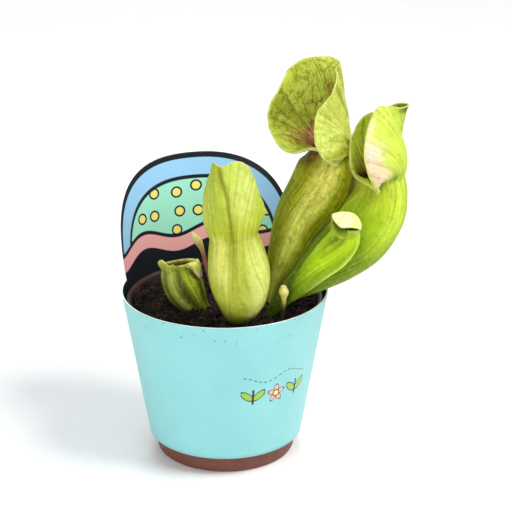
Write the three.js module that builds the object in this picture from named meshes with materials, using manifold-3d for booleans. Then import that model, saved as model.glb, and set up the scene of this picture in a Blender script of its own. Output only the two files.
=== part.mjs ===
// A young pitcher plant in a small nursery pot, with a card sleeve round the pot.
// Millimetres, +Z up. The origin is the middle of the pot's base, and -Y is the front.
import * as THREE from "three";
import { mergeVertices } from "three/addons/utils/BufferGeometryUtils.js";
import Module from "manifold-3d";

const wasm = await Module();
wasm.setup();

// ---- Driving dimensions -----------------------------------------------------
const GAP = 0.3; // running gap between pieces that touch
const TAPER = Math.tan(THREE.MathUtils.degToRad(9.7)); // of the pot and its sleeve

const SLEEVE_RADIUS = 42.5; // outside, at the rim
const SLEEVE_TOP = 70;
const SLEEVE_FOOT = 8;
const CARD = 0.8;
const PANEL_RISE = 44; // raised back of the sleeve, above its rim
const PANEL_HALF_ANGLE = THREE.MathUtils.degToRad(60);
const PANEL_SQUARENESS = 2.6; // 2 is an ellipse, more is a squarer arch
const PANEL_STEPS = 26; // in each half of the arch
const RIM_STEPS = 30;

const POT_TOP = 67;
const POT_WALL = 1.3;
const POT_FLOOR = 1.8;
const POT_LIP_HEIGHT = 5;
const POT_INSET = 1.3; // from the sleeve to the wall below the lip
const POT_ROUNDING = 0.8;
const POT_SIDES = 48;
const DRAIN_HOLES = 6;
const DRAIN_RADIUS = 3.5;
const DRAIN_RING = 19;
const DRAIN_SIDES = 12;

const PEAT_TOP = 65.6;
const PEAT_SIDES = 36;
const PEAT_RINGS = [0.97, 0.82, 0.66, 0.5, 0.33, 0.16]; // shares of its radius
const PEAT_HIGH = 0.9; // its low swells and its small lumps
const PEAT_LOW = 0.5;
const PEAT_FALL = 1; // where it drops away beside the wall

const CROWN_AT = [7, -12.5, 63.5];
const CROWN_HALF = [13, 5.2, 4.6]; // half length, half width, half height
const CROWN_TURN = THREE.MathUtils.degToRad(-14);
const CROWN_KNOBS = 0.1; // share of its radius

const LEAF_WALL = 1.0;
const HOLE_CLEARANCE = 0.35; // round a stalk, in the peat and in the crown
const KEEL_TOP = 0.6; // half widths of the wing that runs up the front of a pitcher
const KEEL_FOOT = 1.7;

// ---- Helpers ----------------------------------------------------------------
const sleeveRadius = (z) => SLEEVE_RADIUS - (SLEEVE_TOP - z) * TAPER;
const sleeveInside = (z) => sleeveRadius(z) - CARD;

function solidOf(geometry) {
  const bare = geometry.clone();
  bare.deleteAttribute("normal");
  bare.deleteAttribute("uv");
  const merged = mergeVertices(bare, 1e-4);
  return new wasm.Manifold(
    new wasm.Mesh({
      numProp: 3,
      vertProperties: new Float32Array(merged.attributes.position.array),
      triVerts: new Uint32Array(merged.index.array),
    }),
  );
}

function geometryOf(solid) {
  const mesh = solid.getMesh();
  return new THREE.BufferGeometry()
    .setAttribute("position", new THREE.BufferAttribute(mesh.vertProperties, 3))
    .setIndex(new THREE.BufferAttribute(mesh.triVerts, 1));
}

// The largest body of a cut, without the crumbs.
function largest(solid) {
  return solid.decompose().sort((a, b) => b.volume() - a.volume())[0];
}

// A closed surface from rings of points of equal length. Each end is a pole, or the rings join end to end.
function skin(rings, startPole, endPole) {
  const count = rings[0].length;
  const points = rings.flat();
  const faces = [];
  const quad = (a, b, c, d) => faces.push(a, b, c, a, c, d);
  const steps = startPole ? rings.length - 1 : rings.length;
  for (let i = 0; i < steps; i++) {
    const low = i * count;
    const high = ((i + 1) % rings.length) * count;
    for (let j = 0; j < count; j++) {
      const next = (j + 1) % count;
      quad(low + j, low + next, high + next, high + j);
    }
  }
  if (startPole) {
    const start = points.push(startPole) - 1;
    const end = points.push(endPole) - 1;
    const last = (rings.length - 1) * count;
    for (let j = 0; j < count; j++) {
      const next = (j + 1) % count;
      faces.push(start, next, j, end, last + j, last + next);
    }
  }
  const geometry = new THREE.BufferGeometry()
    .setFromPoints(points)
    .setIndex(faces);
  if (signedVolume(points, faces) < 0)
    geometry.setIndex(faces.map((_, k) => faces[k - (k % 3) + 2 - (k % 3)]));
  return geometry;
}

function signedVolume(points, faces) {
  let sum = 0;
  for (let k = 0; k < faces.length; k += 3) {
    const [a, b, c] = [points[faces[k]], points[faces[k + 1]], points[faces[k + 2]]];
    sum += a.dot(b.clone().cross(c));
  }
  return sum;
}

// Cubic curve through rows of [angle, value, ...] that go once round the circle, in degrees.
function aroundTheMouth(rows, degrees, column) {
  const n = rows.length;
  const turn = ((degrees % 360) + 360) % 360;
  const row = (k) => rows[((k % n) + n) % n];
  const angle = (k) => row(k)[0] + 360 * Math.floor(k / n);
  let k = n - 1;
  while (k > 0 && angle(k) > turn) k--;
  const slope = (m) => (row(m + 1)[column] - row(m - 1)[column]) / (angle(m + 1) - angle(m - 1));
  const span = angle(k + 1) - angle(k);
  const t = (turn - angle(k)) / span;
  const h00 = (1 + 2 * t) * (1 - t) ** 2;
  const h10 = t * (1 - t) ** 2;
  const h01 = t * t * (3 - 2 * t);
  const h11 = t * t * (t - 1);
  return (
    h00 * row(k)[column] +
    h10 * span * slope(k) +
    h01 * row(k + 1)[column] +
    h11 * span * slope(k + 1)
  );
}

// ---- Pitcher leaves ---------------------------------------------------------
// path: rows of [x, y, z, radius, height of the wing], from the stalk's foot to the mouth.
// faces: where the front of the mouth looks, at the foot and at the mouth.
// hood: its edge, as rows of [angle round the mouth, the edge's place to the left, above and in front of the
// middle of the mouth, and the outward lean and reach with which its rib leaves the mouth]. Angle 0 is the
// front lip, 90 is the left as one looks into the mouth, 180 is the back.
function pitcherRings(leaf, { columns, tubeRows, hoodRows, extra = 0 }) {
  const line = new THREE.CatmullRomCurve3(
    leaf.path.map(([x, y, z]) => new THREE.Vector3(x, y, z)), false, "catmullrom",
  );
  const girth = new THREE.CatmullRomCurve3(
    leaf.path.map(([, , , r, keel]) => new THREE.Vector3(r, keel, 0)), false, "catmullrom",
  );
  const rings = [];
  let frame;
  for (let i = 0; i <= tubeRows; i++) {
    const s = i / tubeRows;
    const centre = line.getPoint(s);
    const up = line.getTangent(s);
    const front = new THREE.Vector3(...leaf.facesAtFoot).lerp(new THREE.Vector3(...leaf.faces), s);
    front.addScaledVector(up, -front.dot(up)).normalize();
    const left = front.clone().cross(up);
    const { x: radius, y: keel } = girth.getPoint(s);
    frame = { centre, up, front, left, radius: radius + extra };
    rings.push(
      anglesRound(frame.radius, columns).map((angle, j, all) => {
        const onKeel = j === 0 || j === all.length - 1;
        return mouthPoint(frame, angle, leaf.breadth, onKeel ? keel : 0);
      }),
    );
  }
  if (!hoodRows) return { rings, frame, foot: line.getPoint(0) };
  const mouth = rings[rings.length - 1];
  const ribs = anglesRound(frame.radius, columns).map((angle, j) => hoodRib(leaf, frame, angle, mouth[j], hoodRows));
  for (let k = 1; k <= hoodRows; k++) rings.push(ribs.map((rib) => rib[k]));
  return { rings, frame, foot: line.getPoint(0) };
}

function anglesRound(radius, columns) {
  const top = Math.min(KEEL_TOP / radius, 0.35);
  const foot = Math.min(KEEL_FOOT / radius, 0.8);
  const even = columns - 3;
  const angles = [top];
  for (let j = 0; j <= even; j++) angles.push(foot + ((2 * Math.PI - 2 * foot) * j) / even);
  angles.push(2 * Math.PI - top);
  return angles;
}

function mouthPoint({ centre, front, left, radius }, angle, breadth, keel) {
  return centre
    .clone()
    .addScaledVector(left, radius * breadth * Math.sin(angle))
    .addScaledVector(front, (radius + keel) * Math.cos(angle));
}

// One rib of the hood: it leaves the mouth with a lean and ends on the hood's edge.
function hoodRib(leaf, { centre, up, front, left }, angle, start, rows) {
  const value = (column) => aroundTheMouth(leaf.hood, THREE.MathUtils.radToDeg(angle), column);
  const [toLeft, toTop, toFront, lean, reach] = [1, 2, 3, 4, 5].map(value);
  const tilt = THREE.MathUtils.degToRad(lean);
  const from = (origin, x, z, y) =>
    origin.clone().addScaledVector(left, x).addScaledVector(up, z).addScaledVector(front, y);
  const outwards = reach * Math.sin(tilt);
  const bend = from(start, outwards * Math.sin(angle), reach * Math.cos(tilt), outwards * Math.cos(angle));
  return new THREE.QuadraticBezierCurve3(start, bend, from(centre, toLeft, toTop, toFront)).getPoints(rows);
}

// A ring's points moved inwards along the surface's normal.
function inset(rings, i, wall, outward) {
  const count = rings[i].length;
  const above = rings[Math.min(i + 1, rings.length - 1)];
  const below = rings[Math.max(i - 1, 0)];
  return rings[i].map((point, j) => {
    const next = rings[i][(j + 1) % count];
    const before = rings[i][(j - 1 + count) % count];
    const normal = next.clone().sub(before).cross(above[j].clone().sub(below[j])).normalize();
    return point.clone().addScaledVector(normal, -outward * wall);
  });
}

// A hollow leaf: outside from foot to edge, then inside from the edge down to where the stalk is solid.
function pitcherGeometry(leaf, size) {
  const { rings, foot } = pitcherRings(leaf, size);
  const bare = pitcherRings({ ...leaf, path: leaf.path.map((row) => [...row.slice(0, 4), 0]) }, size).rings;
  ruffle(rings, leaf, size);
  ruffle(bare, leaf, size);
  const outward = facing(bare, size.solidRows);
  const inside = [];
  for (let i = bare.length - 1; i >= size.solidRows; i--) inside.push(inset(bare, i, LEAF_WALL, outward));
  const bottom = inside[inside.length - 1];
  const well = bottom.reduce((sum, p) => sum.add(p), new THREE.Vector3()).divideScalar(bottom.length);
  return skin([...rings, ...inside], foot, well);
}

// Which way the normal of inset() points: 1 where it is out of the tube.
function facing(rings, i) {
  const middle = rings[i].reduce((sum, p) => sum.add(p), new THREE.Vector3()).divideScalar(rings[i].length);
  const shrunk = inset(rings, i, 1, 1);
  return shrunk[0].distanceTo(middle) < rings[i][0].distanceTo(middle) ? 1 : -1;
}

// Waves the hood, more towards its edge.
function ruffle(rings, leaf, { tubeRows, hoodRows }) {
  const count = rings[0].length;
  const flat = rings.map((ring) => ring.map((p) => p.clone()));
  for (let k = 1; k <= hoodRows; k++) {
    const i = tubeRows + k;
    const reach = (k / hoodRows) ** 2;
    const above = flat[Math.min(i + 1, flat.length - 1)];
    rings[i].forEach((point, j) => {
      const next = flat[i][(j + 1) % count];
      const before = flat[i][(j - 1 + count) % count];
      const normal = next.clone().sub(before).cross(above[j].clone().sub(flat[i - 1][j])).normalize();
      const angle = (2 * Math.PI * j) / count;
      const back = Math.sin(angle / 2) ** 2; // none at the front lip
      const wave = Math.sin(leaf.waves * angle + leaf.wavePhase);
      point.addScaledVector(normal, leaf.waveHeight * reach * back * wave);
    });
  }
}

// The room that a stalk and tube need, for cutting the peat and the crown.
function clearanceOf(leaf, tubeRows) {
  const { rings, foot, frame } = pitcherRings(leaf, { columns: 14, tubeRows, hoodRows: 0, extra: HOLE_CLEARANCE });
  const sunk = foot.clone().add(foot.clone().sub(rings[1][0]).setLength(0.01));
  return solidOf(skin(rings, sunk, frame.centre.clone()));
}

// ---- The leaves -------------------------------------------------------------
const leaves = {
  pitcher_front: {
    colour: 0xb9c257,
    path: [
      [4.5, -18.5, 61, 1.8, 0],
      [1.5, -22.5, 65.8, 3.0, 0.4],
      [-1.8, -27.3, 71.2, 6.8, 1.5],
      [-2.8, -31.2, 79.5, 10.3, 2.6],
      [-4.1, -33.6, 89, 11.9, 2.8],
      [-5.4, -34.2, 98.0, 11.0, 2.2],
      [-6.4, -33.9, 105.5, 9.3, 0.6],
    ],
    facesAtFoot: [0.45, 0.88, 0],
    faces: [0.48, 0.877, 0],
    breadth: 1,
    hood: [
      [0, 0, 0.8, 11.6, 35, 1.6],
      [45, 7.8, 1.2, 8.6, 32, 2],
      [72, 11.3, 4.5, 6.5, 26, 3],
      [98, 12.2, 11, 4.6, 24, 6],
      [128, 11, 20, 2, 18, 9],
      [152, 8.9, 28.4, -1, 14, 12],
      [168, 4.8, 30.2, -2.8, 10, 14],
      [179, 0.9, 28.7, -3.4, 8, 14],
      [188, -1.2, 29.6, -3.6, 8, 14],
      [199, -3.1, 30.6, -3.2, 10, 14],
      [216, -5.9, 25.8, -1.4, 14, 12],
      [240, -9.4, 17, 1.6, 18, 9],
      [266, -11.3, 8.5, 4.6, 24, 6],
      [292, -10.6, 3, 7, 28, 3],
      [318, -7, 1, 9.2, 34, 2],
    ],
    waves: 7,
    wavePhase: 0.6,
    waveHeight: 0.5,
    size: { columns: 24, tubeRows: 12, hoodRows: 7, solidRows: 3 },
  },
  pitcher_tall: {
    colour: 0x8f9a35,
    path: [
      [14, -12.5, 61, 2.0, 0],
      [17.3, -11, 73.5, 3.6, 0.6],
      [23.2, -9.9, 85.9, 6.8, 1.6],
      [30, -8.1, 99.7, 9.7, 2.2],
      [38.1, -8.3, 111.4, 11.5, 2.2],
      [41.8, -8.6, 120.2, 11.1, 1.4],
      [43, -8.6, 127.3, 7.6, 0.5],
    ],
    facesAtFoot: [-0.5, -0.8, 0.3],
    faces: [-0.5, -0.83, 0.1],
    breadth: 1.12,
    hood: [
      [0, 1.8, 0.9, 9.3, 45, 1.6],
      [35, 7.3, 1, 8.2, 45, 2],
      [58, 14.1, -1.9, 9.2, 80, 5.8],
      [78, 20, -0.2, 10.3, 76, 9.2],
      [93, 24.9, 5.6, 10.8, 70, 12],
      [108, 26.2, 13.5, 10.9, 61, 14],
      [124, 24.7, 21.5, 9.9, 54, 14.5],
      [142, 21.7, 30.1, 7.4, 38, 17],
      [160, 15.5, 36, 4.1, 22, 18],
      [178, 8.4, 37.2, 0.8, 14, 18],
      [188, 4, 35.7, -0.9, 12, 17],
      [198, 4.2, 33, 0.6, 12, 15],
      [208, 2.5, 31.5, 2.2, 10, 14],
      [222, 2.8, 26.3, 6.3, 9, 11],
      [238, 4.3, 21, 10.7, 7, 8.5],
      [254, 6.1, 16.5, 15.1, 5, 8],
      [270, 5.9, 10.9, 16.7, 7, 9],
      [286, 4.1, 4.9, 16.4, 16, 8],
      [303, 0.4, -0.4, 14.5, 32, 8],
      [320, -4.4, -3.1, 11.1, 58, 5],
      [341, -2.4, 0.3, 9.1, 50, 2],
    ],
    waves: 9,
    wavePhase: 0.4,
    waveHeight: 0.6,
    size: { columns: 30, tubeRows: 13, hoodRows: 9, solidRows: 3 },
  },
  pitcher_right: {
    colour: 0x9cb32c,
    path: [
      [12.5, -17, 61.5, 2, 0],
      [20.4, -20.9, 72.8, 3.8, 0.8],
      [29.6, -23.6, 80.2, 6.9, 2],
      [39.1, -25.4, 87.8, 10.2, 2.8],
      [47.8, -27.3, 96.5, 12.3, 3],
      [53.8, -28.6, 106.7, 12.2, 2.8],
      [56, -29, 114.7, 10.6, 2],
      [56, -28.7, 121.5, 9.3, 0.6],
    ],
    facesAtFoot: [-0.5, 0.2, 0.85],
    faces: [-0.93, -0.3, 0.1],
    breadth: 1,
    hood: [
      [0, 2, 0.3, 9.6, 40, 1.6],
      [35, 8.1, 1.9, 7.6, 40, 2],
      [62, 11.9, 7.3, 6.2, 36, 5],
      [90, 12.7, 14.5, 4.5, 34, 9],
      [118, 10.5, 21.4, 1.8, 26, 11],
      [150, 3.7, 25.8, -2.3, 14, 13],
      [172, -2.6, 29, -6.6, 4, 16],
      [181, -5.8, 28.6, -8.7, 0, 17],
      [190, -5.2, 27.6, -5, 2, 16],
      [208, -5, 29.2, 1.2, 10, 15],
      [230, -5.6, 29.4, 7, 20, 14],
      [254, -6.2, 21.8, 12, 30, 13],
      [276, -6.8, 12.3, 14, 42, 12],
      [295, -7.8, 3.9, 12.4, 56, 9],
      [312, -8.8, -3.1, 8.4, 74, 5],
      [334, -4.6, -1.2, 9, 50, 2],
    ],
    waves: 7,
    wavePhase: 1.4,
    waveHeight: 0.5,
    size: { columns: 28, tubeRows: 14, hoodRows: 8, solidRows: 3 },
  },
  pitcher_small: {
    colour: 0x9bc01e,
    path: [
      [10, -20.5, 61.5, 1.5, 0],
      [14.5, -25.2, 70.5, 2.4, 0.3],
      [20.6, -31, 79.3, 3.6, 0.5],
      [26.4, -36.6, 88.6, 5.2, 0.9],
      [31.4, -41, 96, 6.3, 1.1],
      [35, -43.3, 101.9, 6, 0.8],
      [36, -43.9, 107.6, 4.8, 0.3],
    ],
    facesAtFoot: [-0.4, -0.3, 0.85],
    faces: [-0.5, -0.8, 0.4],
    breadth: 1.05,
    hood: [
      [0, 0, -2.6, 5.7, 70, 1.2],
      [45, 4.1, -0.8, 4.1, 50, 1.2],
      [85, 5.9, 1.4, 2.2, 30, 2],
      [118, 6.4, 3.6, 1.6, 10, 4.5],
      [150, 4.8, 3.4, 4.6, 0, 8],
      [180, 0.8, 1.8, 6.6, 0, 10],
      [212, -3, 2.6, 5.2, 0, 8.5],
      [245, -5.5, 2.2, 3.4, 8, 5],
      [280, -5.9, 0.8, 2.2, 30, 2],
      [318, -4, -0.8, 4.3, 45, 1.2],
    ],
    waves: 5,
    wavePhase: 0.8,
    waveHeight: 0.15,
    size: { columns: 17, tubeRows: 10, hoodRows: 5, solidRows: 3 },
  },
  pitcher_left: {
    colour: 0x7d9a2c,
    path: [
      [-4, -9.5, 60, 1.6, 0],
      [-8, -7.6, 62, 2.4, 0.2],
      [-11.7, -5.9, 64.5, 3.9, 0.5],
      [-15.1, -4.3, 68.5, 6.4, 0.9],
      [-17.9, -3, 73.5, 7.7, 1.3],
      [-19.6, -1.9, 78.3, 7.3, 1.1],
      [-20.2, -1.5, 82, 6.2, 0.4],
    ],
    facesAtFoot: [0.3, 0.9, 0.2],
    faces: [0.6, 0.75, 0.2],
    breadth: 1.05,
    hood: [
      [0, 0, 0.4, 7.4, 35, 1],
      [45, 5.6, 0.6, 5.8, 35, 1.2],
      [80, 8, 1, 3.2, 44, 3],
      [112, 9.6, -5, -0.3, 38, 8],
      [140, 7, 1.8, -3.6, 24, 4],
      [166, 3, 2.4, -5.6, 10, 4],
      [190, -0.2, 3, -6.4, 10, 4],
      [214, -3.6, 5.3, -5.2, 16, 5],
      [250, -6.8, 3.6, -2.2, 28, 4],
      [285, -7.8, 0.8, 2, 34, 2],
      [322, -5.4, 0.2, 5.4, 35, 1],
    ],
    waves: 5,
    wavePhase: 0,
    waveHeight: 0.15,
    size: { columns: 17, tubeRows: 9, hoodRows: 5, solidRows: 3 },
  },
};

// Leaves that haven't opened yet: the bud by the rim and the thin sprout.
// path: rows of [x, y, z, radius], from the foot to the tip.
const shoots = {
  bud: {
    colour: 0xc9cf6a,
    path: [
      [12.8, -30.5, 61.5, 1.2],
      [13.8, -32.6, 67.5, 1],
      [14, -33.8, 72.8, 1],
      [13.9, -34.4, 77, 1.3],
      [13.8, -34.6, 79.8, 2.3],
      [13.7, -34.7, 82.3, 1.2],
    ],
    sides: 10,
    rows: 12,
  },
  sprout: {
    colour: 0x7a6a35,
    path: [
      [-3.5, -13.5, 61, 1.0],
      [-7.6, -12.2, 71, 0.9],
      [-10.1, -10.2, 82, 0.9],
      [-11.7, -8.3, 90.6, 1.0],
      [-13.5, -7.2, 95.2, 1.9],
      [-15.6, -6.3, 97.9, 0.9],
    ],
    sides: 8,
    rows: 16,
  },
};

function shootRings({ path, sides, rows }, extra = 0) {
  const line = new THREE.CatmullRomCurve3(
    path.map(([x, y, z]) => new THREE.Vector3(x, y, z)), false, "catmullrom",
  );
  const girth = new THREE.CatmullRomCurve3(
    path.map((row) => new THREE.Vector3(row[3], 0, 0)), false, "catmullrom",
  );
  const rings = [];
  for (let i = 0; i <= rows; i++) {
    const up = line.getTangent(i / rows);
    const front = new THREE.Vector3(0, -1, 0).addScaledVector(up, up.y).normalize();
    const left = front.clone().cross(up);
    const radius = girth.getPoint(i / rows).x + extra;
    const centre = line.getPoint(i / rows);
    rings.push(
      Array.from({ length: sides }, (_, j) =>
        mouthPoint({ centre, front, left, radius }, (2 * Math.PI * j) / sides, 1, 0),
      ),
    );
  }
  return { rings, foot: line.getPoint(0), tip: line.getPoint(1) };
}

function shootGeometry(shoot, extra = 0) {
  const { rings, foot, tip } = shootRings(shoot, extra);
  const sinkFoot = foot.clone().sub(rings[1][0]).setLength(extra + 0.01).add(foot);
  return skin(rings, extra ? sinkFoot : foot, tip);
}

// ---- Pot, sleeve, peat and crown --------------------------------------------
function turned(profile, segments) {
  return new THREE.LatheGeometry(profile.map(([r, z]) => new THREE.Vector2(r, z)), segments).rotateX(Math.PI / 2);
}

function potSolid() {
  const wall = (z) => sleeveInside(z) - POT_INSET;
  const inner = (z) => wall(z) - POT_WALL;
  const lip = (z) => sleeveInside(z) - GAP;
  const lipFoot = POT_TOP - POT_LIP_HEIGHT;
  const step = POT_ROUNDING;
  const profile = [
    [0, 0],
    [wall(0) - step, 0],
    [wall(step), step],
    [wall(lipFoot), lipFoot],
    [lip(lipFoot + step), lipFoot + step],
    [lip(POT_TOP - step), POT_TOP - step],
    [lip(POT_TOP) - step, POT_TOP],
    [lip(POT_TOP) - 2 * step, POT_TOP],
    [inner(POT_TOP - step), POT_TOP - step],
    [inner(POT_FLOOR + step), POT_FLOOR + step],
    [inner(POT_FLOOR) - step, POT_FLOOR],
    [0, POT_FLOOR],
  ];
  let pot = solidOf(turned(profile, POT_SIDES));
  for (let k = 0; k < DRAIN_HOLES; k++) {
    const round = (2 * Math.PI * (k + 0.5)) / DRAIN_HOLES;
    const drill = new THREE.CylinderGeometry(DRAIN_RADIUS, DRAIN_RADIUS, 4 * POT_FLOOR, DRAIN_SIDES)
      .rotateX(Math.PI / 2)
      .translate(DRAIN_RING * Math.cos(round), DRAIN_RING * Math.sin(round), POT_FLOOR / 2);
    pot = pot.subtract(solidOf(drill));
  }
  return pot;
}

// The sleeve's top edge, round the pot: level, with an arched panel at the back.
function sleeveEdge(round) {
  const fromBack = Math.abs(Math.atan2(Math.sin(round - Math.PI / 2), Math.cos(round - Math.PI / 2)));
  const across = fromBack / PANEL_HALF_ANGLE;
  if (across >= 1) return SLEEVE_TOP;
  return SLEEVE_TOP + PANEL_RISE * Math.sqrt(1 - across ** PANEL_SQUARENESS);
}

function sleeveGeometry() {
  const rounds = [];
  for (let j = -PANEL_STEPS; j <= PANEL_STEPS; j++)
    rounds.push(Math.PI / 2 + PANEL_HALF_ANGLE * Math.sin((Math.PI / 2) * (j / PANEL_STEPS)));
  const rest = 2 * Math.PI - 2 * PANEL_HALF_ANGLE;
  for (let j = 1; j < RIM_STEPS; j++) rounds.push(Math.PI / 2 + PANEL_HALF_ANGLE + (rest * j) / RIM_STEPS);
  const ring = (height, inwards) =>
    rounds.map((round) => {
      const z = height(round);
      const radius = sleeveRadius(z) - inwards;
      return new THREE.Vector3(radius * Math.cos(round), radius * Math.sin(round), z);
    });
  const foot = () => SLEEVE_FOOT;
  return skin([ring(foot, 0), ring(sleeveEdge, 0), ring(sleeveEdge, CARD), ring(foot, CARD)]);
}

const peatHeight = (x, y) =>
  PEAT_TOP +
  PEAT_HIGH * Math.sin(0.23 * x + 0.9) * Math.cos(0.19 * y - 0.4) +
  PEAT_LOW * Math.sin(0.61 * x - 0.47 * y);

function peatSolid() {
  // A flat side of the pot comes nearer the axis than its corners do.
  const inside = (z) => (sleeveInside(z) - POT_INSET - POT_WALL) * Math.cos(Math.PI / POT_SIDES) - GAP;
  const ringAt = (radius, height) =>
    Array.from({ length: PEAT_SIDES }, (_, j) => {
      const round = (2 * Math.PI * j) / PEAT_SIDES;
      const [x, y] = [radius * Math.cos(round), radius * Math.sin(round)];
      return new THREE.Vector3(x, y, height(x, y));
    });
  const low = POT_FLOOR + GAP;
  const shoulder = PEAT_TOP - PEAT_HIGH - PEAT_LOW - PEAT_FALL - GAP;
  const rings = [
    ringAt(inside(low) - POT_ROUNDING, () => low),
    ringAt(inside(low + POT_ROUNDING), () => low + POT_ROUNDING),
    ringAt(inside(shoulder), () => shoulder),
    ...PEAT_RINGS.map((share, k) =>
      ringAt(inside(shoulder) * share, (x, y) => peatHeight(x, y) - (k ? 0 : PEAT_FALL)),
    ),
  ];
  return solidOf(skin(rings, new THREE.Vector3(0, 0, low), new THREE.Vector3(0, 0, peatHeight(0, 0))));
}

function crownSolid(extra = 0) {
  const geometry = new THREE.SphereGeometry(1, 16, 9);
  const position = geometry.attributes.position;
  const point = new THREE.Vector3();
  for (let i = 0; i < position.count; i++) {
    point.fromBufferAttribute(position, i);
    const knobs = 1 + CROWN_KNOBS * Math.sin(9 * point.x) * Math.cos(4 * point.y + 1);
    const half = CROWN_HALF.map((h) => h * knobs + extra);
    position.setXYZ(i, point.x * half[0], point.y * half[1], point.z * half[2]);
  }
  return solidOf(geometry.rotateZ(CROWN_TURN).translate(...CROWN_AT));
}

// ---- Assembly ---------------------------------------------------------------
const plant = new THREE.Group();

function add(name, geometry, color, roughness = 0.55) {
  const mesh = new THREE.Mesh(geometry, new THREE.MeshStandardMaterial({ color, roughness, metalness: 0 }));
  mesh.name = name;
  plant.add(mesh);
}

const rooms = [
  ...Object.values(leaves).map((leaf) => clearanceOf(leaf, leaf.size.tubeRows)),
  ...Object.values(shoots).map((shoot) => solidOf(shootGeometry(shoot, HOLE_CLEARANCE))),
];
const without = (solid, cutters) => largest(cutters.reduce((left, cutter) => left.subtract(cutter), solid));

add("nursery_pot", geometryOf(potSolid()), 0x8c3c28, 0.6);
add("card_sleeve", sleeveGeometry(), 0xaeeaea, 0.5);
add("peat", geometryOf(without(peatSolid(), [crownSolid(GAP), ...rooms])), 0x241812, 0.95);
add("crown", geometryOf(without(crownSolid(), rooms)), 0x6e4a26, 0.8);
for (const [name, leaf] of Object.entries(leaves)) add(name, pitcherGeometry(leaf, leaf.size), leaf.colour);
for (const [name, shoot] of Object.entries(shoots)) add(name, shootGeometry(shoot), shoot.colour);

export default plant;
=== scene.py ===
import math
import bpy
import numpy as np
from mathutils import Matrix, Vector, noise


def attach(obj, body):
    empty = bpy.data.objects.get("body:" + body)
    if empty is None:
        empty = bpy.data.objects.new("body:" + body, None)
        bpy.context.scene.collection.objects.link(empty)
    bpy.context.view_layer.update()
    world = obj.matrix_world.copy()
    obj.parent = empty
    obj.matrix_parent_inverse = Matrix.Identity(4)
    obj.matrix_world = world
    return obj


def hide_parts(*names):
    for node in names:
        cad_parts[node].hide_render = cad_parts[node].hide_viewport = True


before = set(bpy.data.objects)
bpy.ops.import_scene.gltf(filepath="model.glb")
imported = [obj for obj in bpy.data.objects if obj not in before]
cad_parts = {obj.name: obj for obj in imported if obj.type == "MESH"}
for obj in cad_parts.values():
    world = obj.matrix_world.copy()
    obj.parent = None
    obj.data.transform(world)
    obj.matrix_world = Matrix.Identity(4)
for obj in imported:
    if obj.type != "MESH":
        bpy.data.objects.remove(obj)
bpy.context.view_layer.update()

# ---- View, light and floor ----
# The plant stands on a plain pale table in soft studio light from the upper right.
# The camera looks down on it a little, from in front and to the left.
EYE = Vector((-0.1841, -0.6137, 0.3250))
AIM = Vector((0.0135, 0.0, 0.0825))
LENS = 118
TABLE_HALF = 4
ROOM_GLOW = 0.5

camera = bpy.data.objects.new("camera", bpy.data.cameras.new("camera"))
camera.location = EYE
camera.rotation_euler = (AIM - EYE).to_track_quat("-Z", "Y").to_euler()
camera.data.lens = LENS
bpy.context.scene.collection.objects.link(camera)
bpy.context.scene.camera = camera
bpy.context.scene.view_settings.view_transform = "Standard"


def soft_light(name, place, size, watts, colour):
    """A round lamp that faces the plant, with its place and width in metres."""
    lamp = bpy.data.lights.new(name, "AREA")
    lamp.shape = "DISK"
    lamp.size = size
    lamp.energy = watts
    lamp.color = colour
    holder = bpy.data.objects.new(name, lamp)
    holder.location = place
    holder.rotation_euler = (AIM - Vector(place)).to_track_quat("-Z", "Y").to_euler()
    bpy.context.scene.collection.objects.link(holder)


soft_light("window", place=(0.55, -0.42, 0.98), size=0.55, watts=11.5, colour=(1.0, 0.985, 0.94))
soft_light("fill", place=(-0.75, -0.8, 0.5), size=0.9, watts=6.0, colour=(0.98, 0.99, 1.0))
soft_light("back", place=(0.25, 2.1, 1.9), size=1.6, watts=26, colour=(1.0, 1.0, 1.0))

room = bpy.data.worlds.new("room")
room.use_nodes = True
sky_light = room.node_tree.nodes["Background"].inputs
sky_light["Color"].default_value = (0.97, 0.98, 1.0, 1)
sky_light["Strength"].default_value = ROOM_GLOW
bpy.context.scene.world = room


def srgb(*chart):
    """A colour as a paint chart gives it, 0 to 255, in the renderer's linear light."""
    return tuple(c / 255 / 12.92 if c < 10 else ((c / 255 + 0.055) / 1.055) ** 2.4 for c in chart)


def maths(operation, reflected=False):
    """A method of Value that adds one Math node, with the value itself as first or last term."""
    def method(self, *others):
        terms = (*others, self) if reflected else (self, *others)
        return self.finish.node("Math", {"operation": operation}, dict(enumerate(terms)))
    return method


class Value:
    """One output of a finish's nodes; arithmetic on it adds Math nodes."""
    __add__ = __radd__ = maths("ADD")
    __mul__ = __rmul__ = maths("MULTIPLY")
    __sub__, __rsub__ = maths("SUBTRACT"), maths("SUBTRACT", reflected=True)
    __truediv__, __rtruediv__ = maths("DIVIDE"), maths("DIVIDE", reflected=True)
    __pow__, __rpow__ = maths("POWER"), maths("POWER", reflected=True)
    most, least = maths("MAXIMUM"), maths("MINIMUM")
    size, wave, root, part = maths("ABSOLUTE"), maths("SINE"), maths("SQRT"), maths("FRACT")

    def __init__(self, finish, socket):
        self.finish, self.socket = finish, socket

    def __neg__(self):
        return self * -1.0

    def rise(self, start, end):
        """0 at start and 1 at end, with a smooth step between; start may be the larger."""
        return self.finish.node("MapRange", {"interpolation_type": "SMOOTHSTEP"},
                                {"Value": self, "From Min": start, "From Max": end})


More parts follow.
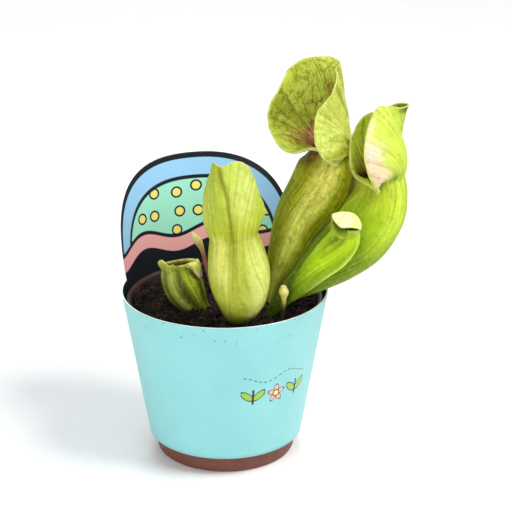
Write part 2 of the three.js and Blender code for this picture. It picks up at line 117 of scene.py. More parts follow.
class Finish:
    """A material, built up node by node, with a principled surface."""

    def __init__(self, name):
        self.material = bpy.data.materials.new(name)
        self.material.use_nodes = True
        self.tree = self.material.node_tree
        self.tree.nodes.clear()

    def node(self, kind, settings=None, sockets=None, out=0):
        """Any node: its type, its settings, then the values or links of its sockets."""
        made = self.tree.nodes.new("ShaderNode" + kind)
        for key, setting in (settings or {}).items():
            setattr(made, key, setting)
        for key, given in (sockets or {}).items():
            if isinstance(given, Value):
                self.tree.links.new(given.socket, made.inputs[key])
            elif isinstance(given, tuple) and len(given) == 3 and made.inputs[key].type == "RGBA":
                made.inputs[key].default_value = (*given, 1)
            else:
                made.inputs[key].default_value = given
        return Value(self, made.outputs[out]) if made.outputs else None

    def blend(self, amount, under, over, how="MIX"):
        """The colour under, with over laid on it by amount."""
        settings = {"data_type": "RGBA", "blend_type": how, "clamp_factor": True}
        return self.node("Mix", settings, {0: amount, 6: under, 7: over}, out=2)

    def coats(self, colour, *coats):
        """The colour with coats of (amount, colour) or (amount, colour, how) laid on it in turn."""
        for amount, *coat in coats:
            colour = self.blend(amount, colour, *coat)
        return colour

    def parts(self, vector):
        """The X, Y and Z of a vector."""
        split = self.node("SeparateXYZ", {}, {0: vector})
        return [Value(self, socket) for socket in split.socket.node.outputs]

    def place(self):
        """The point of the surface, in millimetres."""
        point = self.node("TexCoord", out=3)
        return self.node("VectorMath", {"operation": "SCALE"}, {0: point, "Scale": 1000.0})

    def grain(self, where, scale, detail=4.0, roughness=0.55):
        """Noise from 0 to 1, with scale in lumps per unit of where."""
        sockets = {"Vector": where, "Scale": scale, "Detail": detail, "Roughness": roughness}
        return self.node("TexNoise", {}, sockets)

    def surface(self, colour, roughness, height=None, depth=None, **fixed):
        """The finished material: height is its relief, depth metres deep; fixed sets other sockets."""
        sockets = {"Base Color": colour, "Roughness": roughness}
        if height is not None:
            sockets["Normal"] = self.node("Bump", {}, {"Height": height, "Distance": depth})
        for key, setting in fixed.items():
            sockets[key.replace("_", " ")] = setting
        shader = self.node("BsdfPrincipled", {}, sockets)
        self.node("OutputMaterial", {}, {"Surface": shader})
        return self.material


table_top = Finish("table_top")
clouds = table_top.grain(table_top.place(), 0.02, 3.0)
table_colour = table_top.blend(clouds, srgb(240, 240, 241), srgb(246, 246, 246))
table_paint = table_top.surface(table_colour, 0.6 + 0.1 * clouds)
floor_mesh = bpy.data.meshes.new("floor")
floor_corners = [(x * TABLE_HALF, y * TABLE_HALF, 0) for x, y in ((-1, -1), (1, -1), (1, 1), (-1, 1))]
floor_mesh.from_pydata(floor_corners, [], [(0, 1, 2, 3)])
floor_mesh.materials.append(table_paint)
floor = bpy.data.objects.new("floor", floor_mesh)
bpy.context.scene.collection.objects.link(floor)

# ---- Nursery pot ----
# A thin pot of brown plastic, moulded in one piece: a tapered wall, a wider collar
# round the top, and a flat floor with a ring of drain holes.
# Sizes are in millimetres, and a piece is turned into metres as it is made.
MM = 0.001
TAPER = math.tan(math.radians(9.7))
SLEEVE_RADIUS, SLEEVE_TOP, CARD = 42.5, 70.0, 0.8
POT_TOP, POT_WALL, POT_FLOOR, POT_INSET, POT_ROUNDING = 67.0, 1.3, 1.8, 1.3, 0.8
COLLAR, GAP = 5.0, 0.3
DRAIN_HOLES, DRAIN_RADIUS, DRAIN_RING = 6, 3.5, 19
DRILL_FOOT, DRILL_TOP = -3, 6


def sleeve_radius(z):
    """The outside of the card at a height."""
    return SLEEVE_RADIUS - (SLEEVE_TOP - z) * TAPER


def pot_wall(z):
    """The outside of the pot's wall at a height."""
    return sleeve_radius(z) - CARD - POT_INSET


def pot_collar(z):
    """The outside of the pot's collar at a height."""
    return sleeve_radius(z) - CARD - GAP


def make_piece(name, points, faces, finish):
    """A mesh object from points in millimetres."""
    mesh = bpy.data.meshes.new(name)
    mesh.from_pydata((np.asarray(points, float) * MM).tolist(), [], [tuple(map(int, f)) for f in faces])
    mesh.materials.append(finish)
    mesh.polygons.foreach_set("use_smooth", [True] * len(mesh.polygons))
    mesh.update()
    piece = bpy.data.objects.new(name, mesh)
    bpy.context.scene.collection.objects.link(piece)
    return piece


def grid_faces(rows, columns, closed_rows=False, first=0):
    """Quads of a grid of points whose columns run round and close."""
    low = np.arange(rows if closed_rows else rows - 1)[:, None]
    high = (low + 1) % rows
    left = np.arange(columns)[None, :]
    right = (left + 1) % columns
    corners = [low * columns + left, low * columns + right, high * columns + right, high * columns + left]
    return (np.stack(corners, -1).reshape(-1, 4) + first).tolist()


def closed_faces(rows, columns, first=0):
    """The faces of such a grid, and fans that close its ends onto the two points that follow it."""
    foot, top = first + rows * columns, first + (rows - 1) * columns
    fans = []
    for k in range(columns):
        after = (k + 1) % columns
        fans += [[foot, first + after, first + k], [foot + 1, top + k, top + after]]
    return grid_faces(rows, columns, first=first) + fans


def once_round(sides):
    """Evenly spaced turns from 0, once round."""
    return np.linspace(0, 2 * math.pi, sides, endpoint=False)


def rounded(profile, radius):
    """A profile with its corners rounded, apart from its first and last point."""
    points = [np.array(p, float) for p in profile]
    curve = [points[0]]
    for before, corner, after in zip(points, points[1:], points[2:]):
        back, ahead = before - corner, after - corner
        cut = min(radius, 0.45 * np.linalg.norm(back), 0.45 * np.linalg.norm(ahead))
        start = corner + back / np.linalg.norm(back) * cut
        end = corner + ahead / np.linalg.norm(ahead) * cut
        for t in np.linspace(0, 1, 4):
            curve.append((1 - t) ** 2 * start + 2 * t * (1 - t) * corner + t * t * end)
    return np.array([*curve, points[-1]])


def turned(profile, sides):
    """Points and faces of a profile of radius and height, turned round Z from axis to axis."""
    rings = profile[1:-1]
    points = [(r * math.cos(a), r * math.sin(a), z) for r, z in rings for a in once_round(sides)]
    points += [(0, 0, profile[0][1]), (0, 0, profile[-1][1])]
    return points, closed_faces(len(rings), sides)


moulded = Finish("pot_plastic")
at = moulded.place()
scuffs = moulded.grain(at, 0.22, 6.0, 0.65)
soil = moulded.grain(at, 0.5, 5.0, 0.7)
# Dark soil patches on the plastic, heavier near the rim, where they also paint in the shade that falls
# inside the rim.
near_rim = moulded.parts(at)[2].rise(56.0, 63.0)
soil_and_rim_shade = (soil.rise(0.5, 0.72) * 0.5).most(soil.rise(0.25, 0.5) * near_rim * 0.9)
brown = moulded.blend(soil_and_rim_shade, moulded.blend(scuffs, srgb(96, 50, 38), srgb(122, 68, 50)), srgb(34, 22, 18))
pot_finish = moulded.surface(brown, 0.42 + 0.25 * scuffs, moulded.grain(at, 2.5, 3.0), 0.00012)

collar_foot = POT_TOP - COLLAR
pot_profile = [
    (0, 0),
    (pot_wall(0) - POT_ROUNDING, 0),
    (pot_wall(POT_ROUNDING), POT_ROUNDING),
    (pot_wall(collar_foot), collar_foot),
    (pot_collar(collar_foot + POT_ROUNDING), collar_foot + POT_ROUNDING),
    (pot_collar(POT_TOP - POT_ROUNDING), POT_TOP - POT_ROUNDING),
    (pot_collar(POT_TOP) - POT_ROUNDING, POT_TOP),
    (pot_collar(POT_TOP) - 2 * POT_ROUNDING, POT_TOP),
    (pot_wall(POT_TOP - POT_ROUNDING) - POT_WALL, POT_TOP - POT_ROUNDING),
    (pot_wall(POT_FLOOR + POT_ROUNDING) - POT_WALL, POT_FLOOR + POT_ROUNDING),
    (pot_wall(POT_FLOOR) - POT_WALL - POT_ROUNDING, POT_FLOOR),
    (0, POT_FLOOR),
]
pot = make_piece("nursery_pot_body", *turned(rounded(pot_profile, radius=0.7), sides=144), pot_finish)

drill_profile = [(0, DRILL_FOOT), (DRAIN_RADIUS, DRILL_FOOT), (DRAIN_RADIUS, DRILL_TOP), (0, DRILL_TOP)]
points, faces = turned(drill_profile, sides=40)
drill_points, drill_faces = [], []
for hole in range(DRAIN_HOLES):
    turn = 2 * math.pi * (hole + 0.5) / DRAIN_HOLES
    x_hole, y_hole = DRAIN_RING * math.cos(turn), DRAIN_RING * math.sin(turn)
    drill_faces += [[corner + len(drill_points) for corner in face] for face in faces]
    drill_points += [(x + x_hole, y + y_hole, z) for x, y, z in points]
drill = make_piece("drill", drill_points, drill_faces, pot_finish)
cut = pot.modifiers.new("drain_holes", "BOOLEAN")
cut.object = drill
cut.operation = "DIFFERENCE"
cut.solver = "EXACT"
drained = bpy.data.meshes.new_from_object(pot.evaluated_get(bpy.context.evaluated_depsgraph_get()))
pot.modifiers.clear()
pot.data = drained
bpy.data.objects.remove(drill)
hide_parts("nursery_pot")
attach(pot, "root")

# ---- Peat ----
# Moist, nearly black peat fills the pot to just under its rim. Its crumbs and the
# red-brown fibres of the moss that it came from lie loose on top.
PEAT_TOP, PEAT_FOOT = 65.6, 2.2
POT_SIDES = 48
CRUMBS, CRUMB_SIZES, CRUMB_SHARES = 2000, [0.45, 0.8, 1.3, 2.1], [0.4, 0.35, 0.19, 0.06]
FIBRES, FIBRE_STEPS, FIBRE_LIFT = 640, 10, 0.3
draw = np.random.default_rng(7)


def inside_pot(z):
    """The room inside the solid pot, which is cut to flat sides."""
    return (pot_wall(z) - POT_WALL) * math.cos(math.pi / POT_SIDES) - GAP


peat_wall = inside_pot(PEAT_TOP) - 0.5


def peat_height(x, y):
    """The bed's swells, as the solid has them, with crumbly ground on them."""
    swells = 0.9 * math.sin(0.23 * x + 0.9) * math.cos(0.19 * y - 0.4) + 0.5 * math.sin(0.61 * x - 0.47 * y)
    lumps = noise.fractal(Vector((x / 5.5, y / 5.5, 3.1)), 0.8, 2.1, 5)
    crumbs = noise.fractal(Vector((x / 1.9, y / 1.9, 8.2)), 0.6, 2.1, 4)
    edge = max(0.0, math.hypot(x, y) / peat_wall - 0.93) / 0.07
    return PEAT_TOP + swells + 0.6 * lumps + 0.42 * crumbs - 1.0 * min(edge, 1.0)


earth = Finish("peat")
at = earth.place()
crumb_tone = earth.grain(at, 0.8, 6.0, 0.7)
damp = earth.grain(at, 0.09, 3.0)
peat_colour = earth.coats(
    srgb(8, 6, 5),
    (crumb_tone.rise(0.35, 0.75), srgb(46, 33, 23)),
    (damp.rise(0.45, 0.7) * 0.3, srgb(56, 30, 18)),
)
peat_finish = earth.surface(
    peat_colour, 0.62 + 0.3 * crumb_tone, earth.grain(at, 2.2, 6.0, 0.7), 0.0011, Specular_IOR_Level=0.25
)

peat_rings, peat_sides = 84, 200
shares = np.sqrt(np.linspace(1, 0.0004, peat_rings))
turns = once_round(peat_sides)
foot_radius = inside_pot(3)
bed = [(foot_radius * math.cos(a), foot_radius * math.sin(a), PEAT_FOOT) for a in turns]
for share in shares:
    for a in turns:
        x, y = peat_wall * share * math.cos(a), peat_wall * share * math.sin(a)
        bed.append((x, y, peat_height(x, y)))
bed += [(0, 0, PEAT_FOOT), (0, 0, peat_height(0, 0))]
bed_faces = closed_faces(peat_rings + 1, peat_sides)

t = (1 + math.sqrt(5)) / 2
ball_points = np.array([(-1, t, 0), (1, t, 0), (-1, -t, 0), (1, -t, 0), (0, -1, t), (0, 1, t),
                        (0, -1, -t), (0, 1, -t), (t, 0, -1), (t, 0, 1), (-t, 0, -1), (-t, 0, 1)]) / 1.9
ball_faces = np.array([(0, 11, 5), (0, 5, 1), (0, 1, 7), (0, 7, 10), (0, 10, 11), (1, 5, 9), (5, 11, 4),
                       (11, 10, 2), (10, 7, 6), (7, 1, 8), (3, 9, 4), (3, 4, 2), (3, 2, 6), (3, 6, 8),
                       (3, 8, 9), (4, 9, 5), (2, 4, 11), (6, 2, 10), (8, 6, 7), (9, 8, 1)])


def on_the_bed(reach):
    """A random place on the peat, out to this share of its radius."""
    turn, out = draw.uniform(0, 2 * math.pi), peat_wall * reach * math.sqrt(draw.uniform(0, 1))
    return out * math.cos(turn), out * math.sin(turn)


for _ in range(CRUMBS):
    x, y = on_the_bed(0.97)
    across = draw.choice(CRUMB_SIZES, p=CRUMB_SHARES)
    lump = ball_points * draw.uniform(0.55, 1.2, (12, 1)) * across * draw.uniform(0.6, 1.1, 3)
    middle = (x, y, peat_height(x, y) + 0.12 * across)
    bed_faces += (ball_faces + len(bed)).tolist()
    bed += (lump + middle).tolist()
peat = make_piece("peat_bed", bed, bed_faces, peat_finish)
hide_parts("peat")
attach(peat, "root")


def hoops(line, radii, side, upright, turn):
    """Rings of points round a line, turned from side towards upright."""
    turn = turn[None, :, None]
    return line[:, None] + radii * (np.cos(turn) * side[:, None] + np.sin(turn) * upright[:, None])


def tube(line, radii, sides, first):
    """Points and faces of a tube along a line, its ends closed to a point."""
    line, radii = np.asarray(line, float), np.asarray(radii, float)
    ahead = np.gradient(line, axis=0)
    ahead /= np.linalg.norm(ahead, axis=1, keepdims=True)
    side = np.cross(ahead, [0.13, 0.29, 0.95])
    side /= np.linalg.norm(side, axis=1, keepdims=True)
    rings = hoops(line, radii[:, None, None], side, np.cross(side, ahead), once_round(sides))
    points = rings.reshape(-1, 3).tolist() + [line[0].tolist(), line[-1].tolist()]
    return points, closed_faces(len(line), sides, first)


fibre = Finish("moss_fibres")
tone = fibre.grain(fibre.place(), 0.35, 4.0)
fibre_finish = fibre.surface(fibre.blend(tone.rise(0.35, 0.65), srgb(44, 26, 18), srgb(106, 66, 40)), 0.7)
strands, strand_faces = [], []
for _ in range(FIBRES):
    x, y = on_the_bed(0.94)
    heading, bend = draw.uniform(0, 2 * math.pi), draw.normal(0, 0.16)
    step, lift = draw.uniform(0.35, 1.1), draw.uniform(0.1, 0.6)
    line = []
    for k in range(FIBRE_STEPS):
        if math.hypot(x, y) > peat_wall * 0.985:
            break
        arch = lift * math.sin(math.pi * k / (FIBRE_STEPS - 1))
        line.append((x, y, peat_height(x, y) + FIBRE_LIFT + arch))
        heading += bend + draw.normal(0, 0.15)
        x, y = x + step * math.cos(heading), y + step * math.sin(heading)
    if len(line) > 3:
        thick = draw.uniform(0.07, 0.17)
        points, faces = tube(line, thick * np.linspace(1, 0.4, len(line)), 5, len(strands))
        strands += points
        strand_faces += faces
fibres = make_piece("peat_fibres", strands, strand_faces, fibre_finish)
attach(fibres, "root")

# ---- Crown ----
# The crown is a short, creeping rootstock, half sunk in the peat. Brown, papery
# scales, the feet of older leaves, wrap it, and the new leaves stand in it.
CROWN_AT, CROWN_HALF = np.array([7.0, -12.5, 63.5]), np.array([13.0, 5.2, 4.6])
CROWN_TURN, CROWN_CORE, SCALE_ROWS = math.radians(-14), 0.93, 9
turn_crown = np.array([
    [math.cos(CROWN_TURN), -math.sin(CROWN_TURN), 0],
    [math.sin(CROWN_TURN), math.cos(CROWN_TURN), 0],
    [0, 0, 1],
])

bark = Finish("crown_scales")
at = bark.place()
streaks = bark.grain(at, 0.9, 5.0, 0.65)
patches = bark.grain(at, 0.18, 3.0)
crown_colour = bark.coats(
    srgb(44, 28, 18),
    (streaks.rise(0.3, 0.7), srgb(100, 70, 42)),
    (patches.rise(0.5, 0.7) * 0.5, srgb(78, 84, 38)),
)
crown_finish = bark.surface(crown_colour, 0.6 + 0.25 * streaks, streaks, 0.0006)

knob_rows, knob_sides = 60, 64
knob = []
for i in range(1, knob_rows):
    ahead, out = math.cos(math.pi * i / knob_rows), math.sin(math.pi * i / knob_rows)
    for j in range(knob_sides):
        around = 2 * math.pi * j / knob_sides
        way = np.array([ahead, out * math.cos(around), out * math.sin(around)])
        scales = (i / knob_rows * SCALE_ROWS + 0.25 * math.sin(3 * around)) % 1.0
        rough = noise.fractal(Vector(way * 3.0), 0.8, 2.0, 4)
        knob.append(turn_crown @ (way * CROWN_HALF * (CROWN_CORE + 0.1 * scales + 0.06 * rough)) + CROWN_AT)
knob += [turn_crown @ (CROWN_HALF * (end * CROWN_CORE, 0, 0)) + CROWN_AT for end in (1, -1)]
crown = make_piece("crown_rootstock", knob, closed_faces(knob_rows - 1, knob_sides), crown_finish)
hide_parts("crown")
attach(crown, "root")

# ---- How a pitcher grows ----
# Each pitcher is one leaf, rolled into a hollow tube: a stalk, a belly, a waist, a
# mouth with a rolled lip, and a hood. A thin wing runs up its front, and veins fan out.
LEAF_WALL, HOOD_WALL = 0.9, 0.5
WING_TOP, WING_FOOT, WING_GIRTH = 0.35, 1.5, 9
RIDGE, SMOOTH_FRONT = 0.11, 14
HAIR_HALF, HAIRLESS = 0.05, 75
LIP_SPREAD, BEAD_SIDES = 62, 12
# A leaf's shape is its path, rows of [x, y, z, radius, wing], and its hood's edge, rows of
# [angle, to the left, up, to the front, lean, reach] seen from the mouth, with a few slow waves.
# The wing is as wide in degrees as on a tube of WING_GIRTH. SMOOTH_FRONT, HAIRLESS and
# LIP_SPREAD are degrees from the leaf's front.


def spline(rows, t):
    """Places and directions on a curve through rows, with t from 0 at the first to 1 at the last."""
    rows = np.asarray(rows, float)
    ends = np.vstack([2 * rows[0] - rows[1], rows, 2 * rows[-1] - rows[-2]])
    along = np.clip(t, 0, 1) * (len(rows) - 1)
    k = np.minimum(along.astype(int), len(rows) - 2)
    w = (along - k)[:, None]
    a, b, c, d = ends[k], ends[k + 1], ends[k + 2], ends[k + 3]
    leaving, reaching = (c - a) / 2, (d - b) / 2
    square, cube = -3 * b + 3 * c - 2 * leaving - reaching, 2 * b - 2 * c + leaving + reaching
    return b + leaving * w + square * w**2 + cube * w**3, leaving + 2 * square * w + 3 * cube * w**2


def round_the_mouth(rows, degrees):
    """Values of rows of [angle, value, ...] that go once round, between them by cubic curves."""
    table = np.array(rows, float)
    angles = np.concatenate([table[-1:, 0] - 360, table[:, 0], table[:2, 0] + 360])
    values = np.vstack([table[-1:, 1:], table[:, 1:], table[:2, 1:]])
    slopes = (values[2:] - values[:-2]) / (angles[2:] - angles[:-2])[:, None]
    k = np.searchsorted(table[:, 0], degrees % 360, side="right") - 1
    span = (angles[k + 2] - angles[k + 1])[:, None]
    t = ((degrees % 360) - angles[k + 1])[:, None] / span
    return (
        (1 + 2 * t) * (1 - t) ** 2 * values[k + 1] + t * (1 - t) ** 2 * span * slopes[k]
        + t * t * (3 - 2 * t) * values[k + 2] + t * t * (t - 1) * span * slopes[k + 1]
    )


def unit(vectors):
    """The same directions, each 1 long."""
    return vectors / np.maximum(np.linalg.norm(vectors, axis=-1, keepdims=True), 1e-9)


def apart(degrees, other=0):
    """How far two angles round the leaf are apart, 0 to 180; its front is at 0."""
    return np.abs((degrees - other + 180) % 360 - 180)


def normals(grid):
    """Directions at right angles to a grid whose columns run round."""
    across = np.roll(grid, -1, axis=1) - np.roll(grid, 1, axis=1)
    return unit(np.cross(across, np.gradient(grid, axis=0)))


def grow(path, faces_at_foot, faces, breadth, hood, waves, wave_phase, wave_height, mesh_size):
    """The leaf's outer grid, the same grid without its wing, the angle of each column and the
    height of each row, which is 0 at the foot, 1 at the mouth and 2 at the hood's edge."""
    columns, tube_rows, hood_rows = mesh_size
    s = np.linspace(0, 1, tube_rows + 1)
    rows = np.array(path, float)
    centre, up = spline(rows[:, :3], s)
    girth = spline(rows[:, 3:], s)[0]
    up = unit(up)
    front = np.array(faces_at_foot) + (np.array(faces) - np.array(faces_at_foot)) * s[:, None]
    front = unit(front - up * np.sum(front * up, axis=1, keepdims=True))
    left = np.cross(front, up)
    wing_top, wing_foot = (math.degrees(width / WING_GIRTH) for width in (WING_TOP, WING_FOOT))
    fine = [0, wing_top, 0.5 * (wing_top + wing_foot), wing_foot]
    degrees = np.concatenate([fine, np.linspace(wing_foot, 360 - wing_foot, columns)[1:-1],
                              [360 - a for a in fine[:0:-1]]])
    around = np.radians(degrees)[None, :, None]
    radius, wing = girth[:, None, :1], girth[:, None, 1:]
    away = np.minimum(around, 2 * math.pi - around) * radius
    blade = wing * np.clip((WING_FOOT - away) / (WING_FOOT - WING_TOP), 0, 1) ** 1.5
    grids = []
    for height in (blade, 0 * blade):
        tube_part = (
            centre[:, None] + left[:, None] * radius * breadth * np.sin(around)
            + front[:, None] * (radius + height) * np.cos(around)
        )
        value = round_the_mouth(hood, degrees)
        lean, reach = np.radians(value[:, 3:4]), value[:, 4:5]
        turn = np.radians(degrees)[:, None]
        start = tube_part[-1]
        outward = np.sin(turn) * left[-1] + np.cos(turn) * front[-1]
        bend = start + reach * (np.cos(lean) * up[-1] + np.sin(lean) * outward)
        edge = centre[-1] + value[:, 0:1] * left[-1] + value[:, 1:2] * up[-1] + value[:, 2:3] * front[-1]
        t = np.linspace(0, 1, hood_rows + 1)[1:, None, None]
        hood_part = (1 - t) ** 2 * start + 2 * t * (1 - t) * bend + t * t * edge
        grids.append(np.concatenate([tube_part, hood_part]))
    height = np.concatenate([s, 1 + np.linspace(0, 1, hood_rows + 1)[1:]])
    swell = np.clip(height - 1, 0, 1)[:, None, None] ** 2 * np.sin(around / 2) ** 2
    ripple = wave_height * np.sin(waves * around + wave_phase) + 0.22 * wave_height * np.sin(
        (3 * waves + 2) * around + 5 * wave_phase
    )
    for grid in grids:
        grid += normals(grid) * swell * ripple
    return grids[0], grids[1], degrees, height


def tints(degrees, height, stops, patches):
    """Colours over a grid: stops by height, with soft patches on them, whose rows hold
    [angle, spread, height, spread, colour, amount]."""
    at_height = np.array([h for h, _ in stops])
    colours = np.array([srgb(*c) for _, c in stops])
    base = np.stack([np.interp(height, at_height, colours[:, k]) for k in range(3)], -1)
    tint = np.repeat(base[:, None], len(degrees), axis=1)
    for angle, spread, middle, rise, colour, amount in patches:
        across = np.exp(-(apart(degrees, angle) / spread) ** 3)
        along = np.exp(-np.abs((height - middle) / rise) ** 3)
        share = amount * across[None, :] * along[:, None]
        tint += (np.array(srgb(*colour)) - tint) * share[..., None]
    return tint


def leaf_finish(name, vein, throat_vein, wide, net, streaky, mottled=1.0):
    """Leaf skin: the painted tint, with streaks and veins along it and a net of finer ones."""
    skin = Finish(name)
    lane, along, _ = skin.parts(skin.node("UVMap", {"uv_map": "growth"}))
    tint = skin.node("Attribute", {"attribute_name": "tint"})
    pitch, veined, throat = (
        skin.node("Attribute", {"attribute_name": label}, out=2) for label in ("pitch", "veined", "throat")
    )
    at = skin.place()
    own = skin.node("TexWhiteNoise", {"noise_dimensions": "1D"}, {"W": lane - lane.part()})
    beside = (lane.part() - 0.5).size() * pitch
    width = wide * (0.45 + 0.8 * own)
    trunk = beside.rise(width, width * 0.15) * (0.35 + 0.65 * own)
    shake = skin.grain(at, 0.6, 3.0) - 0.5

    def net_lines(across, up, randomness):
        """How far each point is from the lines of an uneven net."""
        spot = skin.node("CombineXYZ", {}, {0: across, 1: up})
        return skin.node("TexVoronoi", {"feature": "DISTANCE_TO_EDGE", "voronoi_dimensions": "2D"},
                         {"Vector": spot, "Scale": 1.0, "Randomness": randomness})

    twigs = net_lines(lane * 1.15 + shake * 0.7, along * 2.4 + shake, 0.95).rise(0.1, 0.015)
    hairlines = net_lines(lane * 2.9 + shake, along * 5.0, 1.0).rise(0.12, 0.02)
    breaks = skin.grain(at, 0.22, 2.0).rise(0.22, 0.62)
    streaks = skin.grain(skin.node("CombineXYZ", {}, {0: lane * 1.7, 1: along * 0.32}), 1.0, 4.0, 0.6)
    blotches = skin.grain(at, 0.2, 3.0, 0.6)
    mottle = skin.grain(at, 0.55, 5.0, 0.65)
    veins = (trunk.most(twigs * net).most(hairlines * net * 0.35) * veined * breaks).least(1.0)
    colour = skin.coats(
        tint,
        (streaks.rise(0.48, 0.72) * streaky, srgb(164, 152, 84), "MULTIPLY"),
        (streaks.rise(0.46, 0.26) * streaky * 0.55, srgb(236, 236, 160)),
        (blotches.rise(0.46, 0.72) * 0.3 * mottled, srgb(168, 186, 96), "MULTIPLY"),
        (mottle.rise(0.5, 0.74) * 0.35 * mottled, srgb(170, 186, 104), "MULTIPLY"),
        (mottle.rise(0.46, 0.26) * 0.22 * mottled, srgb(238, 240, 130)),
        (veins, skin.blend(throat, vein, throat_vein)),
    )
    relief = trunk * 0.5 + twigs * (net * 0.35) + hairlines * 0.12 + skin.grain(at, 2.6, 3.0) * 0.4
    return skin.surface(
        colour, 0.38 + 0.2 * mottle, relief, 0.00025,
        Subsurface_Weight=0.15, Subsurface_Radius=(0.7, 1.0, 0.2), Subsurface_Scale=0.0015,
        Specular_IOR_Level=0.08, Coat_Weight=0.03, Coat_Roughness=0.3,
    )


def midrib(degrees, height, line, spread):
    """How deep in the groove along the midrib each point lies, 0 to 1; line holds [height, angle]."""
    line = np.array(line, float)
    aside = apart(degrees[None], np.interp(height, line[:, 0], line[:, 1])[:, None])
    start, end = line[0, 0], line[-1, 0]
    along = np.interp(height, [start - 0.15, start + 0.1, end - 0.02, end + 0.05], [0, 1, 1, 0.5])
    return np.exp(-((aside / spread) ** 2)) * along[:, None]


def pitcher(name, shape, paint_out, paint_in, veined, lanes, seed, finish, mesh_size,
            solid=0.25, groove=None):
    """A closed, hollow leaf as one mesh: the outside from foot to edge, then the inside down to
    where the stalk is solid. Rows of veined hold a height and how strong the veins are there,
    outside and inside. A groove is the midrib's line, its spread, its depth and its colour."""
    outer, bare, degrees, height = grow(**shape, mesh_size=mesh_size)
    tube_rows = mesh_size[1]
    first = int(solid * tube_rows)
    out = normals(bare)
    if np.sum((bare[first] - bare[first].mean(axis=0)) * out[first]) < 0:
        out = -out
    outside_tint, inside_tint = tints(degrees, height, *paint_out), tints(degrees, height, *paint_in)
    if groove:
        line, spread, depth, colour = groove
        sunk = midrib(degrees, height, line, spread)[..., None]
        outer, bare = outer - out * depth * sunk, bare - out * depth * sunk
        outside_tint += (np.array(srgb(*colour)) - outside_tint) * 0.8 * sunk

    turn = np.append(degrees, 360)
    spacing = np.linalg.norm(np.roll(bare, -1, axis=1) - bare, axis=2) / np.diff(turn) * 360
    stalk = np.linalg.norm(np.diff(bare[: tube_rows + 1].mean(axis=1), axis=0), axis=1)
    rib = np.linalg.norm(np.diff(bare[tube_rows:], axis=0), axis=2).mean(axis=1)
    length = np.concatenate([[0], np.cumsum(np.concatenate([stalk, rib]))])
    pick = np.random.default_rng(seed)
    lane = np.radians(turn)[None] / (2 * math.pi) * lanes + np.zeros((len(length), 1))
    for bends in (1, 2, 3, 5, 7, 10):
        twist, start = pick.uniform(0.03, 0.14), pick.uniform(0, 6.28)
        drift = bends * np.radians(turn)[None] + twist * length[:, None] + start
        lane = lane + 0.5 / math.sqrt(bends) * np.sin(drift)
    fade = np.interp(height, [0, 0.25, 0.6, 1.9, 2], [0, 0.3, 1, 1, 0])[:, None]
    fade = fade * np.clip(apart(degrees) / SMOOTH_FRONT - 0.4, 0, 1)[None]
    ridge = (RIDGE * fade * np.sin(math.pi * lane[:, :-1]) ** 2)[..., None]
    wall = np.interp(height, [0, 1, 2], [LEAF_WALL, LEAF_WALL, HOOD_WALL])[:, None, None]
    outer = outer + out * ridge
    inner = (bare - out * (wall + 0.6 * ridge))[first:][::-1]

    grid = np.concatenate([outer, inner])
    rows, count = grid.shape[:2]
    ends = [outer[0].mean(axis=0).tolist(), inner[-1].mean(axis=0).tolist()]
    piece = make_piece(name, grid.reshape(-1, 3).tolist() + ends, closed_faces(rows, count), finish)
    mesh = piece.data

    def both_sides(outside, inside):
        """Rows of values for the mesh: the outside's, then the inside's."""
        return np.concatenate([outside, inside[first:][::-1]])

    across, up = both_sides(lane, lane), both_sides(length, length) / 10
    row, column = np.divmod(np.arange((rows - 1) * count), count)
    corners = [(row, column), (row, column + 1), (row + 1, column + 1), (row + 1, column)]
    spots = np.stack([np.stack([across[r, c], up[r]], -1) for r, c in corners], axis=1).reshape(-1, 2)
    layer = mesh.uv_layers.new(name="growth")
    layer.data.foreach_set("uv", np.concatenate([spots, np.zeros((2 * count * 3, 2))]).ravel())

    def by_height(heights, values):
        """Values set by height, the same all the way round."""
        return np.interp(height, heights, values)[:, None] * np.ones((1, count))

    heights, strong_out, strong_in = zip(*veined)
    for label, values in (
        ("pitch", both_sides(spacing, spacing) / lanes),
        ("veined", both_sides(by_height(heights, strong_out), by_height(heights, strong_in))),
        ("throat", both_sides(by_height([0, 2], [0, 0]), by_height([1.15, 1.8], [1, 0]))),
    ):
        attribute = mesh.attributes.new(label, "FLOAT", "POINT")
        attribute.data.foreach_set("value", np.append(values.ravel(), [values[0, 0], values[-1, 0]]))
    paint = both_sides(outside_tint, inside_tint).reshape(-1, 3)
    paint = np.concatenate([paint, paint[:1], paint[-1:]])
    attribute = mesh.attributes.new("tint", "FLOAT_COLOR", "POINT")
    attribute.data.foreach_set("color", np.hstack([paint, np.ones((len(paint), 1))]).ravel())
    return piece, (outer, inner[::-1], out, degrees)


def rolled_edge(name, rims, lip, margin, finish):
    """The bead round the mouth and hood: a fat roll at the lip, a thin margin along the hood."""
    outer, inner, out, degrees = rims
    line = (outer[-1] + inner[-1]) / 2
    thick = margin + (lip - margin) * np.exp(-(apart(degrees) / LIP_SPREAD) ** 4)
    ahead = unit(np.roll(line, -1, axis=0) - np.roll(line, 1, axis=0))
    side = out[-1]
    across = unit(np.cross(ahead, side))
    line = line + side * (0.45 * (thick - margin))[:, None]
    rings = hoops(line, thick[:, None, None], side, across, once_round(BEAD_SIDES))
    faces = grid_faces(len(line), BEAD_SIDES, closed_rows=True)
    return make_piece(name, rings.reshape(-1, 3), faces, finish)


hair = Finish("pale_hairs")
hair_tone = hair.grain(hair.place(), 0.4)
hair_finish = hair.surface(hair.blend(hair_tone, srgb(190, 200, 110), srgb(222, 228, 168)), 0.5)


